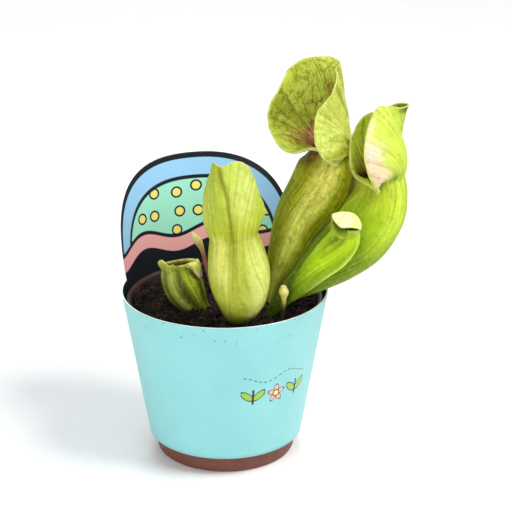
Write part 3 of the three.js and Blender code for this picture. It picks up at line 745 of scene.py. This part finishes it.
def hairs(name, rims, rows, count, long, seed):
    """Short, stiff hairs on the hood's inside, all pointing down into the mouth."""
    pick = np.random.default_rng(seed)
    _, inner, out, degrees = rims
    hood, facing = inner[-rows:], -out[-rows:]
    points, faces = [], []
    while len(faces) < 3 * count:
        i, j = pick.integers(4, rows - 4), pick.integers(0, hood.shape[1])
        if apart(degrees[j]) < HAIRLESS:
            continue
        down = unit(hood[i - 2, j] - hood[i, j])
        tip = hood[i, j] + unit(down + 0.75 * facing[i, j]) * long * pick.uniform(0.6, 1.2)
        side = np.cross(down, facing[i, j]) * HAIR_HALF
        base = [hood[i, j] + side, hood[i, j] - side, hood[i, j] + down * 1.8 * HAIR_HALF]
        faces += [[len(points) + a, len(points) + b, len(points) + 3] for a, b in ((0, 1), (1, 2), (2, 0))]
        points += [p.tolist() for p in base] + [tip.tolist()]
    return make_piece(name, points, faces, hair_finish)


# ---- Front pitcher ----
# This pitcher turns its back on the viewer: a pale, yellow-green leaf with a plump
# belly, a soft waist and a broad hood whose top edge is nipped beside its midrib.
FRONT_SHAPE = dict(
    path=[
        [4.5, -18.5, 61, 1.8, 0], [1.5, -22.5, 65.8, 3.0, 0.4],
        [-1.8, -27.3, 71.2, 6.8, 1.5], [-2.8, -31.2, 79.5, 10.3, 2.6],
        [-4.1, -33.6, 89, 11.9, 2.8], [-5.4, -34.2, 98.0, 11.0, 2.2],
        [-6.4, -33.9, 105.5, 9.3, 0.6],
    ],
    faces_at_foot=[0.45, 0.88, 0], faces=[0.48, 0.877, 0], breadth=1,
    hood=[
        [0, 0, 0.8, 11.6, 35, 1.6], [45, 7.8, 1.2, 8.6, 32, 2],
        [72, 11.3, 4.5, 6.5, 26, 3], [98, 12.2, 11, 4.6, 24, 6],
        [128, 11, 20, 2, 18, 9], [152, 8.9, 28.4, -1, 14, 12],
        [168, 4.8, 30.2, -2.8, 10, 14], [179, 0.9, 28.7, -3.4, 8, 14],
        [188, -1.2, 29.6, -3.6, 8, 14], [199, -3.1, 30.6, -3.2, 10, 14],
        [216, -5.9, 25.8, -1.4, 14, 12], [240, -9.4, 17, 1.6, 18, 9],
        [266, -11.3, 8.5, 4.6, 24, 6], [292, -10.6, 3, 7, 28, 3],
        [318, -7, 1, 9.2, 34, 2],
    ],
    waves=7, wave_phase=0.6, wave_height=0.5,
)
front_skin = leaf_finish(
    "front_leaf", vein=srgb(128, 132, 40), throat_vein=srgb(120, 60, 36), wide=0.5, net=0.35, streaky=0.5
)
front_outside = (
    # The stops darken towards the foot: painted shade under the belly.
    [(0, (84, 80, 18)), (0.3, (98, 96, 20)), (0.45, (132, 134, 36)), (0.6, (166, 174, 56)),
     (0.75, (172, 180, 58)), (1.0, (164, 170, 44)), (1.15, (172, 180, 46)), (1.5, (184, 198, 70)),
     (2.0, (182, 200, 72))],
    [
        # Painted highlight: the belly's right side, which faces the lamp, is painted paler.
        [122, 30, 0.72, 0.3, (212, 220, 124), 0.8],
        [204, 20, 0.88, 0.2, (228, 226, 116), 0.9],
        # Painted highlight on the hood's right side, which faces the lamp.
        [146, 22, 1.75, 0.36, (204, 212, 118), 0.8],
        # Painted shade on the hood's left, beside the midrib's crease.
        [196, 12, 1.75, 0.5, (150, 170, 54), 0.6],
        [104, 14, 1.5, 0.3, (164, 178, 62), 0.5],
        [184, 5, 1.86, 0.14, (140, 130, 36), 0.6],
    ],
)
front_inside = (
    [(0, (150, 150, 50)), (1.0, (150, 110, 44)), (1.2, (170, 160, 66)), (1.5, (176, 184, 66)),
     (2.0, (192, 204, 84))],
    [[180, 60, 1.08, 0.16, (136, 56, 34), 0.6]],
)
front, front_rims = pitcher(
    "pitcher_front_leaf", FRONT_SHAPE, front_outside, front_inside,
    veined=[(0, 0.3, 0.3), (1, 0.3, 0.8), (2, 0.3, 0.9)],
    lanes=30, seed=21, finish=front_skin, mesh_size=(200, 96, 50),
    groove=([[1.0, 171], [1.3, 171], [1.6, 174], [1.97, 186]], 3.2, 0.45, (128, 128, 28)),
)

pale_lip = Finish("pale_lip")
at = pale_lip.place()
pale_lip_finish = pale_lip.surface(
    pale_lip.blend(pale_lip.grain(at, 0.25, 3.0).rise(0.4, 0.7), srgb(206, 212, 120), srgb(178, 186, 88)),
    0.3, pale_lip.grain(at, 1.2, 3.0), 0.0002, Subsurface_Weight=0.15, Subsurface_Scale=0.0015,
)
front_edge = rolled_edge("pitcher_front_lip", front_rims, lip=0.85, margin=0.3, finish=pale_lip_finish)
front_hairs = hairs("pitcher_front_hairs", front_rims, rows=50, count=420, long=1.1, seed=11)
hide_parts("pitcher_front")
for piece in (front, front_edge, front_hairs):
    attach(piece, "root")

# ---- Tall pitcher ----
# The tallest pitcher looks towards the viewer: a net of red-brown veins spreads from
# its throat over the hood, and one side of the hood is folded in over the mouth.
TALL_SHAPE = dict(
    path=[
        [14, -12.5, 61, 2.0, 0], [17.3, -11, 73.5, 3.6, 0.6],
        [23.2, -9.9, 85.9, 6.8, 1.6], [30, -8.1, 99.7, 9.7, 2.2],
        [38.1, -8.3, 111.4, 11.5, 2.2], [41.8, -8.6, 120.2, 11.1, 1.4],
        [43, -8.6, 127.3, 7.6, 0.5],
    ],
    faces_at_foot=[-0.5, -0.8, 0.3], faces=[-0.5, -0.83, 0.1], breadth=1.12,
    hood=[
        [0, 1.8, 0.9, 9.3, 45, 1.6], [35, 7.3, 1, 8.2, 45, 2],
        [58, 14.1, -1.9, 9.2, 80, 5.8], [78, 20, -0.2, 10.3, 76, 9.2],
        [93, 24.9, 5.6, 10.8, 70, 12], [108, 26.2, 13.5, 10.9, 61, 14],
        [124, 24.7, 21.5, 9.9, 54, 14.5], [142, 21.7, 30.1, 7.4, 38, 17],
        [160, 15.5, 36, 4.1, 22, 18], [178, 8.4, 37.2, 0.8, 14, 18],
        [188, 4, 35.7, -0.9, 12, 17], [198, 4.2, 33, 0.6, 12, 15],
        [208, 2.5, 31.5, 2.2, 10, 14], [222, 2.8, 26.3, 6.3, 9, 11],
        [238, 4.3, 21, 10.7, 7, 8.5], [254, 6.1, 16.5, 15.1, 5, 8],
        [270, 5.9, 10.9, 16.7, 7, 9], [286, 4.1, 4.9, 16.4, 16, 8],
        [303, 0.4, -0.4, 14.5, 32, 8], [320, -4.4, -3.1, 11.1, 58, 5],
        [341, -2.4, 0.3, 9.1, 50, 2],
    ],
    waves=9, wave_phase=0.4, wave_height=0.6,
)
tall_skin = leaf_finish(
    "tall_leaf", vein=srgb(112, 88, 22), throat_vein=srgb(160, 56, 36), wide=0.7, net=0.9, streaky=0.7,
    mottled=1.7,
)
tall_outside = (
    [(0, (156, 160, 34)), (0.3, (180, 192, 36)), (0.7, (184, 192, 30)), (1.0, (184, 180, 36)),
     (1.15, (176, 184, 50)), (1.5, (184, 194, 76)), (2.0, (190, 202, 84))],
    [
        [350, 21, 0.3, 0.55, (246, 250, 112), 0.9],
        [352, 23, 0.8, 0.34, (244, 238, 118), 0.9],
        [62, 42, 0.93, 0.16, (80, 48, 4), 0.95],
        [30, 26, 0.985, 0.035, (120, 44, 22), 0.7],
        [45, 20, 0.5, 0.36, (140, 150, 8), 0.7],
        [296, 8, 0.9, 0.3, (178, 160, 36), 0.6],
        [318, 14, 0.6, 0.4, (176, 186, 18), 0.6],
        [180, 70, 0.5, 0.6, (160, 168, 40), 0.5],
        [268, 26, 1.78, 0.3, (214, 228, 114), 0.75],
        [240, 14, 1.9, 0.25, (204, 212, 96), 0.6],
        [282, 15, 1.36, 0.26, (170, 170, 30), 0.95],
        [305, 15, 1.42, 0.27, (182, 180, 30), 1.0],
        [299, 5, 1.5, 0.14, (100, 70, 20), 0.5],
        [285, 5, 1.42, 0.1, (110, 80, 24), 0.4],
        [283, 14, 1.9, 0.12, (236, 250, 140), 0.6],
        # Painted light: this strip is lifted to offset the shade between this pitcher and the right one.
        [318, 15, 1.0, 0.16, (206, 204, 50), 0.85],
    ],
)
tall_inside = (
    [(0, (120, 110, 40)), (0.9, (110, 44, 24)), (1.05, (204, 140, 96)), (1.25, (196, 190, 84)),
     (1.5, (190, 206, 70)), (2.0, (214, 230, 88))],
    [
        [110, 24, 1.75, 0.28, (128, 142, 26), 0.8],
        [140, 18, 1.72, 0.25, (204, 214, 88), 0.7],
        [178, 24, 1.9, 0.24, (226, 238, 100), 0.8],
        [84, 16, 1.7, 0.3, (172, 186, 60), 0.6],
        [170, 4, 1.45, 0.34, (150, 76, 34), 0.85],
        # The throat's own pink, with painted light: it is made paler to offset the shade inside the throat.
        [124, 28, 1.16, 0.13, (255, 188, 146), 1.0],
        [118, 6, 1.05, 0.05, (120, 40, 26), 0.9],
    ],
)
tall, tall_rims = pitcher(
    "pitcher_tall_leaf", TALL_SHAPE, tall_outside, tall_inside,
    veined=[(0, 0.25, 0.4), (0.6, 0.35, 0.8), (1, 0.45, 1.0), (1.5, 0.3, 1.0), (2, 0.25, 0.6)],
    lanes=30, seed=22, finish=tall_skin, mesh_size=(180, 96, 50),
    groove=([[0.5, 180], [1.0, 176], [1.45, 171], [1.95, 184]], 2.8, 0.3, (132, 124, 28)),
)
tall_edge = rolled_edge("pitcher_tall_lip", tall_rims, lip=0.8, margin=0.3, finish=pale_lip_finish)
tall_hairs = hairs("pitcher_tall_hairs", tall_rims, rows=50, count=520, long=1.0, seed=12)
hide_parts("pitcher_tall")
for piece in (tall, tall_edge, tall_hairs):
    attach(piece, "root")

# ---- Right pitcher ----
# The fattest pitcher leans out to the right and shows its side: a bright green leaf
# with a peaked hood, whose near lobe is folded across and pinkish cream along its edge.
RIGHT_SHAPE = dict(
    path=[
        [12.5, -17, 61.5, 2, 0], [20.4, -20.9, 72.8, 3.8, 0.8],
        [29.6, -23.6, 80.2, 6.9, 2], [39.1, -25.4, 87.8, 10.2, 2.8],
        [47.8, -27.3, 96.5, 12.3, 3], [53.8, -28.6, 106.7, 12.2, 2.8],
        [56, -29, 114.7, 10.6, 2], [56, -28.7, 121.5, 9.3, 0.6],
    ],
    faces_at_foot=[-0.5, 0.2, 0.85], faces=[-0.93, -0.3, 0.1], breadth=1,
    hood=[
        [0, 2, 0.3, 9.6, 40, 1.6], [35, 8.1, 1.9, 7.6, 40, 2],
        [62, 11.9, 7.3, 6.2, 36, 5], [90, 12.7, 14.5, 4.5, 34, 9],
        [118, 10.5, 21.4, 1.8, 26, 11], [150, 3.7, 25.8, -2.3, 14, 13],
        [172, -2.6, 29, -6.6, 4, 16], [181, -5.8, 28.6, -8.7, 0, 17],
        [190, -5.2, 27.6, -5, 2, 16], [208, -5, 29.2, 1.2, 10, 15],
        [230, -5.6, 29.4, 7, 20, 14], [254, -6.2, 21.8, 12, 30, 13],
        [276, -6.8, 12.3, 14, 42, 12], [295, -7.8, 3.9, 12.4, 56, 9],
        [312, -8.8, -3.1, 8.4, 74, 5], [334, -4.6, -1.2, 9, 50, 2],
    ],
    waves=7, wave_phase=1.4, wave_height=0.5,
)
right_skin = leaf_finish(
    "right_leaf", vein=srgb(110, 110, 28), throat_vein=srgb(104, 44, 22), wide=0.5, net=0.45, streaky=0.55
)
right_outside = (
    # The first three stops are dark: painted shade on the lower tube's underside.
    [(0, (104, 128, 8)), (0.4, (108, 136, 2)), (0.52, (120, 148, 4)), (0.65, (158, 192, 26)),
     (0.9, (172, 190, 40)), (1.0, (158, 178, 34)), (1.2, (170, 190, 48)), (1.6, (190, 208, 78)),
     (2.0, (204, 220, 92))],
    [
        # Painted highlight on the side that faces the lamp.
        [262, 24, 0.85, 0.26, (204, 226, 74), 0.7],
        [238, 40, 1.35, 0.4, (196, 214, 76), 0.6],
        # Painted shade under the overhanging flap.
        [322, 14, 0.94, 0.12, (138, 140, 30), 0.5],
        [30, 24, 0.8, 0.4, (140, 130, 34), 0.6],
        [120, 60, 0.6, 0.5, (122, 150, 26), 0.5],
        [150, 34, 1.6, 0.4, (146, 176, 40), 0.5],
        [277, 16, 1.94, 0.2, (242, 214, 190), 1.0],
        [298, 15, 1.75, 0.46, (242, 214, 188), 1.0],
        [252, 12, 2.0, 0.06, (236, 224, 172), 0.9],
        [283, 12, 1.12, 0.1, (110, 130, 20), 0.7],
        [181, 10, 1.97, 0.08, (62, 92, 18), 0.95],
    ],
)
right_inside = (
    [(0, (120, 120, 40)), (1.0, (120, 84, 30)), (1.2, (160, 160, 50)), (1.5, (180, 192, 46)),
     (2.0, (204, 220, 72))],
    [
        [180, 60, 1.06, 0.12, (140, 60, 32), 0.6],
        [105, 26, 1.85, 0.3, (186, 198, 42), 0.6],
        [178, 8, 1.97, 0.08, (92, 116, 22), 0.9],
    ],
)
right, right_rims = pitcher(
    "pitcher_right_leaf", RIGHT_SHAPE, right_outside, right_inside,
    veined=[(0, 0.25, 0.4), (1, 0.35, 0.9), (1.5, 0.2, 0.9), (2, 0.15, 0.7)],
    lanes=32, seed=23, finish=right_skin, mesh_size=(180, 96, 50),
    groove=([[0.4, 180], [1.0, 180], [1.95, 181]], 2.8, 0.35, (112, 126, 16)),
)
right_edge = rolled_edge("pitcher_right_lip", right_rims, lip=0.85, margin=0.3, finish=pale_lip_finish)
right_hairs = hairs("pitcher_right_hairs", right_rims, rows=50, count=500, long=1.1, seed=13)
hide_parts("pitcher_right")
for piece in (right, right_edge, right_hairs):
    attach(piece, "root")

# ---- Small pitcher ----
# A slim young pitcher leans out beside it. Its hood hasn't lifted yet and still lies
# over the mouth as a cream-coloured lid.
SMALL_SHAPE = dict(
    path=[
        [10, -20.5, 61.5, 1.5, 0], [14.5, -25.2, 70.5, 2.4, 0.3],
        [20.6, -31, 79.3, 3.6, 0.5], [26.4, -36.6, 88.6, 5.2, 0.9],
        [31.4, -41, 96, 6.3, 1.1], [35, -43.3, 101.9, 6, 0.8],
        [36, -43.9, 107.6, 4.8, 0.3],
    ],
    faces_at_foot=[-0.4, -0.3, 0.85], faces=[-0.5, -0.8, 0.4], breadth=1.05,
    hood=[
        [0, 0, -2.6, 5.7, 70, 1.2], [45, 4.1, -0.8, 4.1, 50, 1.2],
        [85, 5.9, 1.4, 2.2, 30, 2], [118, 6.4, 3.6, 1.6, 10, 4.5],
        [150, 4.8, 3.4, 4.6, 0, 8], [180, 0.8, 1.8, 6.6, 0, 10],
        [212, -3, 2.6, 5.2, 0, 8.5], [245, -5.5, 2.2, 3.4, 8, 5],
        [280, -5.9, 0.8, 2.2, 30, 2], [318, -4, -0.8, 4.3, 45, 1.2],
    ],
    waves=5, wave_phase=0.8, wave_height=0.15,
)
small_skin = leaf_finish(
    "small_leaf", vein=srgb(110, 128, 30), throat_vein=srgb(110, 70, 30), wide=0.45, net=0.3, streaky=0.55
)
small_outside = (
    # The first two stops are dark: painted shade on the base.
    [(0, (76, 100, 0)), (0.35, (88, 118, 0)), (0.6, (184, 222, 18)), (0.9, (192, 226, 24)),
     (1.0, (190, 206, 50)), (1.2, (222, 210, 128)), (1.45, (250, 232, 172)), (2.0, (252, 236, 184))],
    [
        [252, 18, 0.8, 0.4, (214, 222, 96), 0.8],
        [228, 18, 1.8, 0.5, (206, 212, 104), 0.7],
        [300, 24, 0.6, 0.3, (116, 150, 12), 0.6],
        # Painted highlight along the lit left edge, from the base up to the lid.
        [60, 24, 0.6, 0.4, (190, 214, 84), 0.5],
        [0, 66, 1.6, 0.6, (150, 184, 30), 1.0],
        # Painted shade on the lip below the lid, along the slit.
        [8, 34, 1.0, 0.3, (76, 88, 14), 0.75],
    ],
)
small_inside = (
    [(0, (120, 130, 40)), (1, (90, 80, 30)), (2, (206, 196, 140))],
    [
        [0, 70, 1.8, 0.8, (150, 186, 28), 1.0],
        # Painted shade inside the front, under the lid.
        [10, 32, 1.2, 0.6, (66, 82, 12), 0.9],
    ],
)
small, small_rims = pitcher(
    "pitcher_small_leaf", SMALL_SHAPE, small_outside, small_inside,
    veined=[(0, 0.3, 0.3), (1, 0.3, 0.6), (1.2, 0.1, 0.5), (2, 0.05, 0.4)],
    lanes=18, seed=24, finish=small_skin, mesh_size=(96, 80, 36), solid=0.3,
)
small_lip = Finish("small_lip")
small_lip_tone = small_lip.grain(small_lip.place(), 0.5, 3.0)
small_lip_finish = small_lip.surface(
    small_lip.blend(small_lip_tone.rise(0.4, 0.7), srgb(150, 176, 44), srgb(184, 194, 84)),
    0.35, Subsurface_Weight=0.15, Subsurface_Scale=0.0015,
)
small_edge = rolled_edge("pitcher_small_lip", small_rims, lip=0.34, margin=0.2, finish=small_lip_finish)
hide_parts("pitcher_small")
for piece in (small, small_edge):
    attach(piece, "root")

# ---- Left pitcher ----
# A short, squat pitcher lies low at the left, striped dark and pale along its length,
# with a wide mouth and a small hood that has stayed upright; its palest stripe is a painted highlight.
LEFT_SHAPE = dict(
    path=[
        [-4, -9.5, 60, 1.6, 0], [-8, -7.6, 62, 2.4, 0.2],
        [-11.7, -5.9, 64.5, 3.9, 0.5], [-15.1, -4.3, 68.5, 6.4, 0.9],
        [-17.9, -3, 73.5, 7.7, 1.3], [-19.6, -1.9, 78.3, 7.3, 1.1],
        [-20.2, -1.5, 82, 6.2, 0.4],
    ],
    faces_at_foot=[0.3, 0.9, 0.2], faces=[0.6, 0.75, 0.2], breadth=1.05,
    hood=[
        [0, 0, 0.4, 7.4, 35, 1], [45, 5.6, 0.6, 5.8, 35, 1.2],
        [80, 8, 1, 3.2, 44, 3], [112, 9.6, -5, -0.3, 38, 8],
        [140, 7, 1.8, -3.6, 24, 4], [166, 3, 2.4, -5.6, 10, 4],
        [190, -0.2, 3, -6.4, 10, 4], [214, -3.6, 5.3, -5.2, 16, 5],
        [250, -6.8, 3.6, -2.2, 28, 4], [285, -7.8, 0.8, 2, 34, 2],
        [322, -5.4, 0.2, 5.4, 35, 1],
    ],
    waves=5, wave_phase=0, wave_height=0.15,
)
left_skin = leaf_finish(
    "left_leaf", vein=srgb(70, 74, 18), throat_vein=srgb(90, 40, 22), wide=0.8, net=0.35, streaky=0.8
)
left_outside = (
    [(0, (78, 80, 18)), (0.35, (88, 94, 18)), (0.7, (124, 138, 26)), (1.0, (160, 172, 60)),
     (1.5, (170, 184, 70)), (2.0, (196, 206, 96))],
    [
        [128, 13, 0.7, 0.6, (176, 196, 48), 0.85],
        [156, 10, 0.7, 0.6, (66, 74, 12), 0.85],
        # Painted highlight: this palest, narrow stripe stands in for a highlight.
        [184, 12, 0.6, 0.6, (190, 192, 96), 0.85],
        [212, 12, 0.7, 0.6, (70, 80, 18), 0.7],
        [92, 13, 0.7, 0.6, (80, 92, 18), 0.7],
    ],
)
left_inside = (
    [(0, (90, 84, 36)), (1, (110, 90, 40)), (1.3, (170, 176, 80)), (2, (214, 204, 130))],
    [
        [112, 28, 1.75, 0.6, (226, 226, 112), 1.0],
        [108, 20, 2.02, 0.2, (252, 206, 176), 1.0],
    ],
)
left, left_rims = pitcher(
    "pitcher_left_leaf", LEFT_SHAPE, left_outside, left_inside,
    veined=[(0, 0.6, 0.4), (1, 0.6, 0.6), (2, 0.4, 0.6)],
    lanes=20, seed=25, finish=left_skin, mesh_size=(96, 72, 34), solid=0.34,
)
left_edge = rolled_edge("pitcher_left_lip", left_rims, lip=0.55, margin=0.22, finish=pale_lip_finish)
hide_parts("pitcher_left")
for piece in (left, left_edge):
    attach(piece, "root")

# ---- Bud and sprout ----
# Two leaves that haven't opened: a fat, cream-yellow bud beside the rim, and a thin
# stalk with a swollen brown head that ends in a pale tip.


def shoot(name, path, sides, rows, creases, finish):
    """A rolled, closed leaf along a path of [x, y, z, radius], with shallow creases along it."""
    s = np.linspace(0, 1, rows + 1)
    table = np.array(path, float)
    centre, up = spline(table[:, :3], s)
    radius = spline(table[:, 3:], s)[0][:, :1]
    up = unit(up)
    front = unit(np.array([0, -1, 0]) + up * up[:, 1:2])
    turn = once_round(sides)
    radius = radius[..., None] * (1 - 0.07 * (1 - np.cos(creases * turn[:, None])))
    grid = hoops(centre, radius, front, np.cross(front, up), turn)
    points = grid.reshape(-1, 3).tolist() + [centre[0].tolist(), (centre[-1] + up[-1] * 0.25).tolist()]
    return make_piece(name, points, closed_faces(rows + 1, sides), finish)


def shoot_finish(name, foot, head, tip):
    """Leaf skin of three colours, each given with its height above the table."""
    skin = Finish(name)
    at = skin.place()
    z = skin.parts(at)[2]
    brownish = skin.grain(at, 0.7, 4.0).rise(0.4, 0.75) * 0.35
    to_head, to_tip = z.rise(foot[0], head[0]), z.rise(head[0], tip[0])
    colour = skin.coats(foot[1], (to_head, head[1]), (to_tip, tip[1]), (brownish, srgb(98, 84, 36)))
    relief = skin.grain(at, 1.6, 3.0)
    return skin.surface(colour, 0.4, relief, 0.0002, Subsurface_Weight=0.12, Subsurface_Scale=0.0012)


bud_skin = shoot_finish(
    "bud_skin", foot=(72, srgb(44, 48, 14)), head=(78.6, srgb(196, 190, 84)), tip=(81, srgb(226, 216, 128))
)
bud = shoot(
    "bud_leaf",
    [[12.8, -30.5, 61.5, 1.2], [13.8, -32.6, 67.5, 1], [14, -33.8, 72.8, 1],
     [13.9, -34.4, 77, 1.3], [13.8, -34.6, 79.8, 2.3], [13.7, -34.7, 82.3, 1.2]],
    sides=30, rows=48, creases=2, finish=bud_skin,
)
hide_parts("bud")
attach(bud, "root")

sprout_skin = shoot_finish(
    "sprout_skin", foot=(72, srgb(64, 40, 24)), head=(88, srgb(116, 62, 36)), tip=(97, srgb(190, 176, 104))
)
sprout = shoot(
    "sprout_leaf",
    [[-3.5, -13.5, 61, 1.0], [-7.6, -12.2, 71, 0.9], [-10.1, -10.2, 82, 0.9],
     [-11.7, -8.3, 90.6, 1.0], [-13.5, -7.2, 95.2, 1.9], [-15.6, -6.3, 97.9, 0.9]],
    sides=24, rows=60, creases=1, finish=sprout_skin,
)
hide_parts("sprout")
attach(sprout, "root")

# ---- Card sleeve ----
# A wrap of printed card is slipped over the pot. It is aqua outside, its raised back
# carries a pattern on the side that faces the plant, and its cut edges show white.
SLEEVE_FOOT, PANEL_RISE, PANEL_HALF, PANEL_SQUARENESS = 8.0, 44.0, math.radians(60), 2.6
BACK = math.pi / 2


def sleeve_edge(turn):
    """The height of the card's top edge: level at the front, an arch at the back."""
    across = abs(math.atan2(math.sin(turn - BACK), math.cos(turn - BACK))) / PANEL_HALF
    return SLEEVE_TOP + (PANEL_RISE * math.sqrt(1 - across**PANEL_SQUARENESS) if across < 1 else 0)


INK, MINT, SKY = srgb(22, 26, 34), srgb(158, 226, 200), srgb(150, 200, 236)
PINK, YELLOW, LEAF_GREEN = srgb(238, 170, 168), srgb(238, 222, 120), srgb(150, 190, 70)
DOT_PITCH, CREST_WAVE, CREST_HEIGHT = 9.0, 8.0, 2.2

print_side = Finish("printed_card")
at = print_side.place()
x, y, z = print_side.parts(at)
turn = print_side.node("Math", {"operation": "ARCTAN2"}, {0: x, 1: y})
rise = z - SLEEVE_TOP
arch = (turn.size() / PANEL_HALF) ** PANEL_SQUARENESS + (rise.most(0.0) / PANEL_RISE) ** 2.0
crest = rise - (turn * CREST_WAVE).wave() * CREST_HEIGHT
dots = print_side.node("CombineXYZ", {}, {0: turn * SLEEVE_RADIUS / DOT_PITCH, 1: rise / DOT_PITCH})
speck = print_side.node("TexVoronoi", {"feature": "F1", "voronoi_dimensions": "2D"},
                        {"Vector": dots, "Scale": 1.0, "Randomness": 0.35})
pattern = print_side.coats(
    MINT,
    (speck.rise(0.28, 0.26), INK),
    (speck.rise(0.2, 0.18), YELLOW),
    (arch.rise(0.545, 0.56), INK),
    (arch.rise(0.6, 0.615), SKY),
    (arch.rise(0.885, 0.9), INK),
    (crest.rise(12.6, 12.2), INK),
    (crest.rise(11.0, 10.6), PINK),
    (crest.rise(5.2, 4.8), INK),
)
paper_grain = print_side.grain(at, 1.3, 4.0)
print_finish = print_side.surface(
    pattern, 0.38 + 0.12 * paper_grain, paper_grain, 0.00006, Specular_IOR_Level=0.2
)

BAND_RADIUS, BAND_MIDDLE, BAND_HEIGHT, BAND_STEP, MOTIF = 38.0, 11.0, 37.0, 10.6, 1.3
STITCH, TRAIL_UP = 2.2, 6.0

plain_side = Finish("aqua_card")
at = plain_side.place()
x, y, z = plain_side.parts(at)
along = BAND_RADIUS * plain_side.node("Math", {"operation": "ARCTAN2"}, {0: x, 1: -y}) - BAND_MIDDLE
inside_band = along.size().rise(1.5 * BAND_STEP, 1.5 * BAND_STEP - 0.1)
step = along / BAND_STEP + 0.5
beside, above = (step.part() - 0.5) * (BAND_STEP / MOTIF), (z - BAND_HEIGHT) / MOTIF
bloom = (step - step.part()).size().rise(0.5, 0.4) * inside_band
sprig = (1.0 - bloom) * inside_band
reach = (beside * beside + above * above).root()
heading = plain_side.node("Math", {"operation": "ARCTAN2"}, {0: above, 1: beside})
petals = reach - 2.3 - 0.8 * (5.0 * heading).wave()
leaf_over, leaf_up = beside.size() - 2.0, above - 0.4
leaf_long, leaf_wide = leaf_over * 0.8 + leaf_up * 0.6, leaf_up * 0.8 - leaf_over * 0.6
leaves = ((leaf_long / 2.3) ** 2.0 + leaf_wide**2.0).root() - 1.0
stem = (beside.size() - 0.3).most(above.size() - 2.6)
dash = ((along / STITCH).part() - 0.5).size().rise(0.3, 0.26)
trail = (above - TRAIL_UP - 1.2 * (along * 0.3).wave()).size().rise(0.22, 0.16)
shade = plain_side.grain(at, 0.05, 3.0)
dirt = plain_side.grain(at, 0.55, 3.0, 0.6).rise(0.66, 0.7) * z.rise(52.0, 70.0) * z.rise(78.0, 71.0)
rubbed = plain_side.grain(at, 0.3, 8.0, 0.75).rise(0.6, 0.72)
ground = plain_side.coats(
    srgb(128, 196, 198),
    (shade, srgb(146, 210, 210)),
    (leaves.rise(0.28, 0.2) * sprig, INK),
    (leaves.rise(0.0, -0.06) * sprig, LEAF_GREEN),
    (stem.rise(0.08, 0.0) * sprig, INK),
    (petals.rise(0.3, 0.22) * bloom, INK),
    (petals.rise(-0.1, -0.18) * bloom, PINK),
    (reach.rise(1.35, 1.27) * bloom, INK),
    (reach.rise(0.95, 0.87) * bloom, YELLOW),
    (dash * trail * inside_band * 0.8, INK),
    (dirt * 0.85, srgb(52, 40, 30)),
    (rubbed * 0.3, srgb(190, 230, 230)),
)
dents = plain_side.grain(at, 0.06, 2.0) * 12.0 + plain_side.grain(at, 1.3, 4.0) - 1.5 * rubbed
plain_finish = plain_side.surface(ground, 0.36 + 0.1 * shade + 0.15 * rubbed, dents, 0.00006)

cut_edge = Finish("card_edge")
cut_grain = cut_edge.grain(cut_edge.place(), 2.0, 3.0)
cut_colour = cut_edge.blend(cut_grain, srgb(226, 240, 240), srgb(248, 252, 252))
cut_finish = cut_edge.surface(cut_colour, 0.8, cut_grain, 0.0001)

LAP_EDGE, LAP_REACH, LAP_RISE, LAP_CUT = math.radians(2), math.radians(13), 0.28, 0.002
panel_turns = BACK + PANEL_HALF * np.sin(np.linspace(-math.pi / 2, math.pi / 2, 181))
rim_turns = np.linspace(BACK + PANEL_HALF, BACK - PANEL_HALF + 2 * math.pi, 141)[1:-1]
lap_turns = 2 * math.pi + LAP_EDGE - np.array([LAP_CUT, 0])
sleeve_turns = np.concatenate([panel_turns, np.sort(np.concatenate([rim_turns, lap_turns]))])
levels = np.concatenate([np.linspace(0, 0.985, 40), [0.993, 1.0]])
SHEET, SHEET_WAVE, SHEET_GAP = 0.6, 0.12, 0.05


def sleeve_lap(turn_at):
    """The outer sheet lies over the inner one here, glued down, and ends at a straight cut."""
    into = (turn_at - LAP_EDGE) % (2 * math.pi) / LAP_REACH
    return LAP_RISE * (1 - into**2 * (3 - 2 * into)) if into < 1 else 0


def sleeve_wall(inwards):
    """One side of the card, which waves a little, most of all where it stands free of the pot."""
    wall = []
    for share in levels:
        for turn_at in sleeve_turns:
            z_at = SLEEVE_FOOT + (sleeve_edge(turn_at) - SLEEVE_FOOT) * share
            wave = SHEET_WAVE * math.sin(5 * turn_at + 0.04 * z_at) * min(1.0, (z_at - SLEEVE_FOOT) / 30)
            radius_at = sleeve_radius(z_at) - SHEET_GAP - inwards + wave * (1 if z_at > SLEEVE_TOP else 0.4)
            radius_at += 0 if inwards else sleeve_lap(turn_at)
            wall.append((radius_at * math.cos(turn_at), radius_at * math.sin(turn_at), z_at))
    return wall


around_count = len(sleeve_turns)
half, top_row = len(levels) * around_count, (len(levels) - 1) * around_count
outside_faces = grid_faces(len(levels), around_count)
inside_faces = [[corner + half for corner in face[::-1]] for face in outside_faces]
edge_faces = []
for k in range(around_count):
    after = (k + 1) % around_count
    edge_faces.append([k, half + k, half + after, after])
    edge_faces.append([top_row + k, top_row + after, half + top_row + after, half + top_row + k])
sleeve_faces = outside_faces + inside_faces + edge_faces
sleeve = make_piece("card_sleeve_wrap", sleeve_wall(0.0) + sleeve_wall(SHEET), sleeve_faces, plain_finish)
sleeve.data.materials.append(print_finish)
sleeve.data.materials.append(cut_finish)
lap_column = int(np.searchsorted(sleeve_turns[len(panel_turns):], lap_turns[0])) + len(panel_turns)
outside_choice = [2 if k % around_count == lap_column else 0 for k in range(len(outside_faces))]
choice = outside_choice + [1] * len(inside_faces) + [2] * len(edge_faces)
sleeve.data.polygons.foreach_set("material_index", choice)
sleeve.data.polygons.foreach_set("use_smooth", [part != 2 for part in choice])
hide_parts("card_sleeve")
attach(sleeve, "root")

# ---- Final scene update ----
bpy.context.view_layer.update()
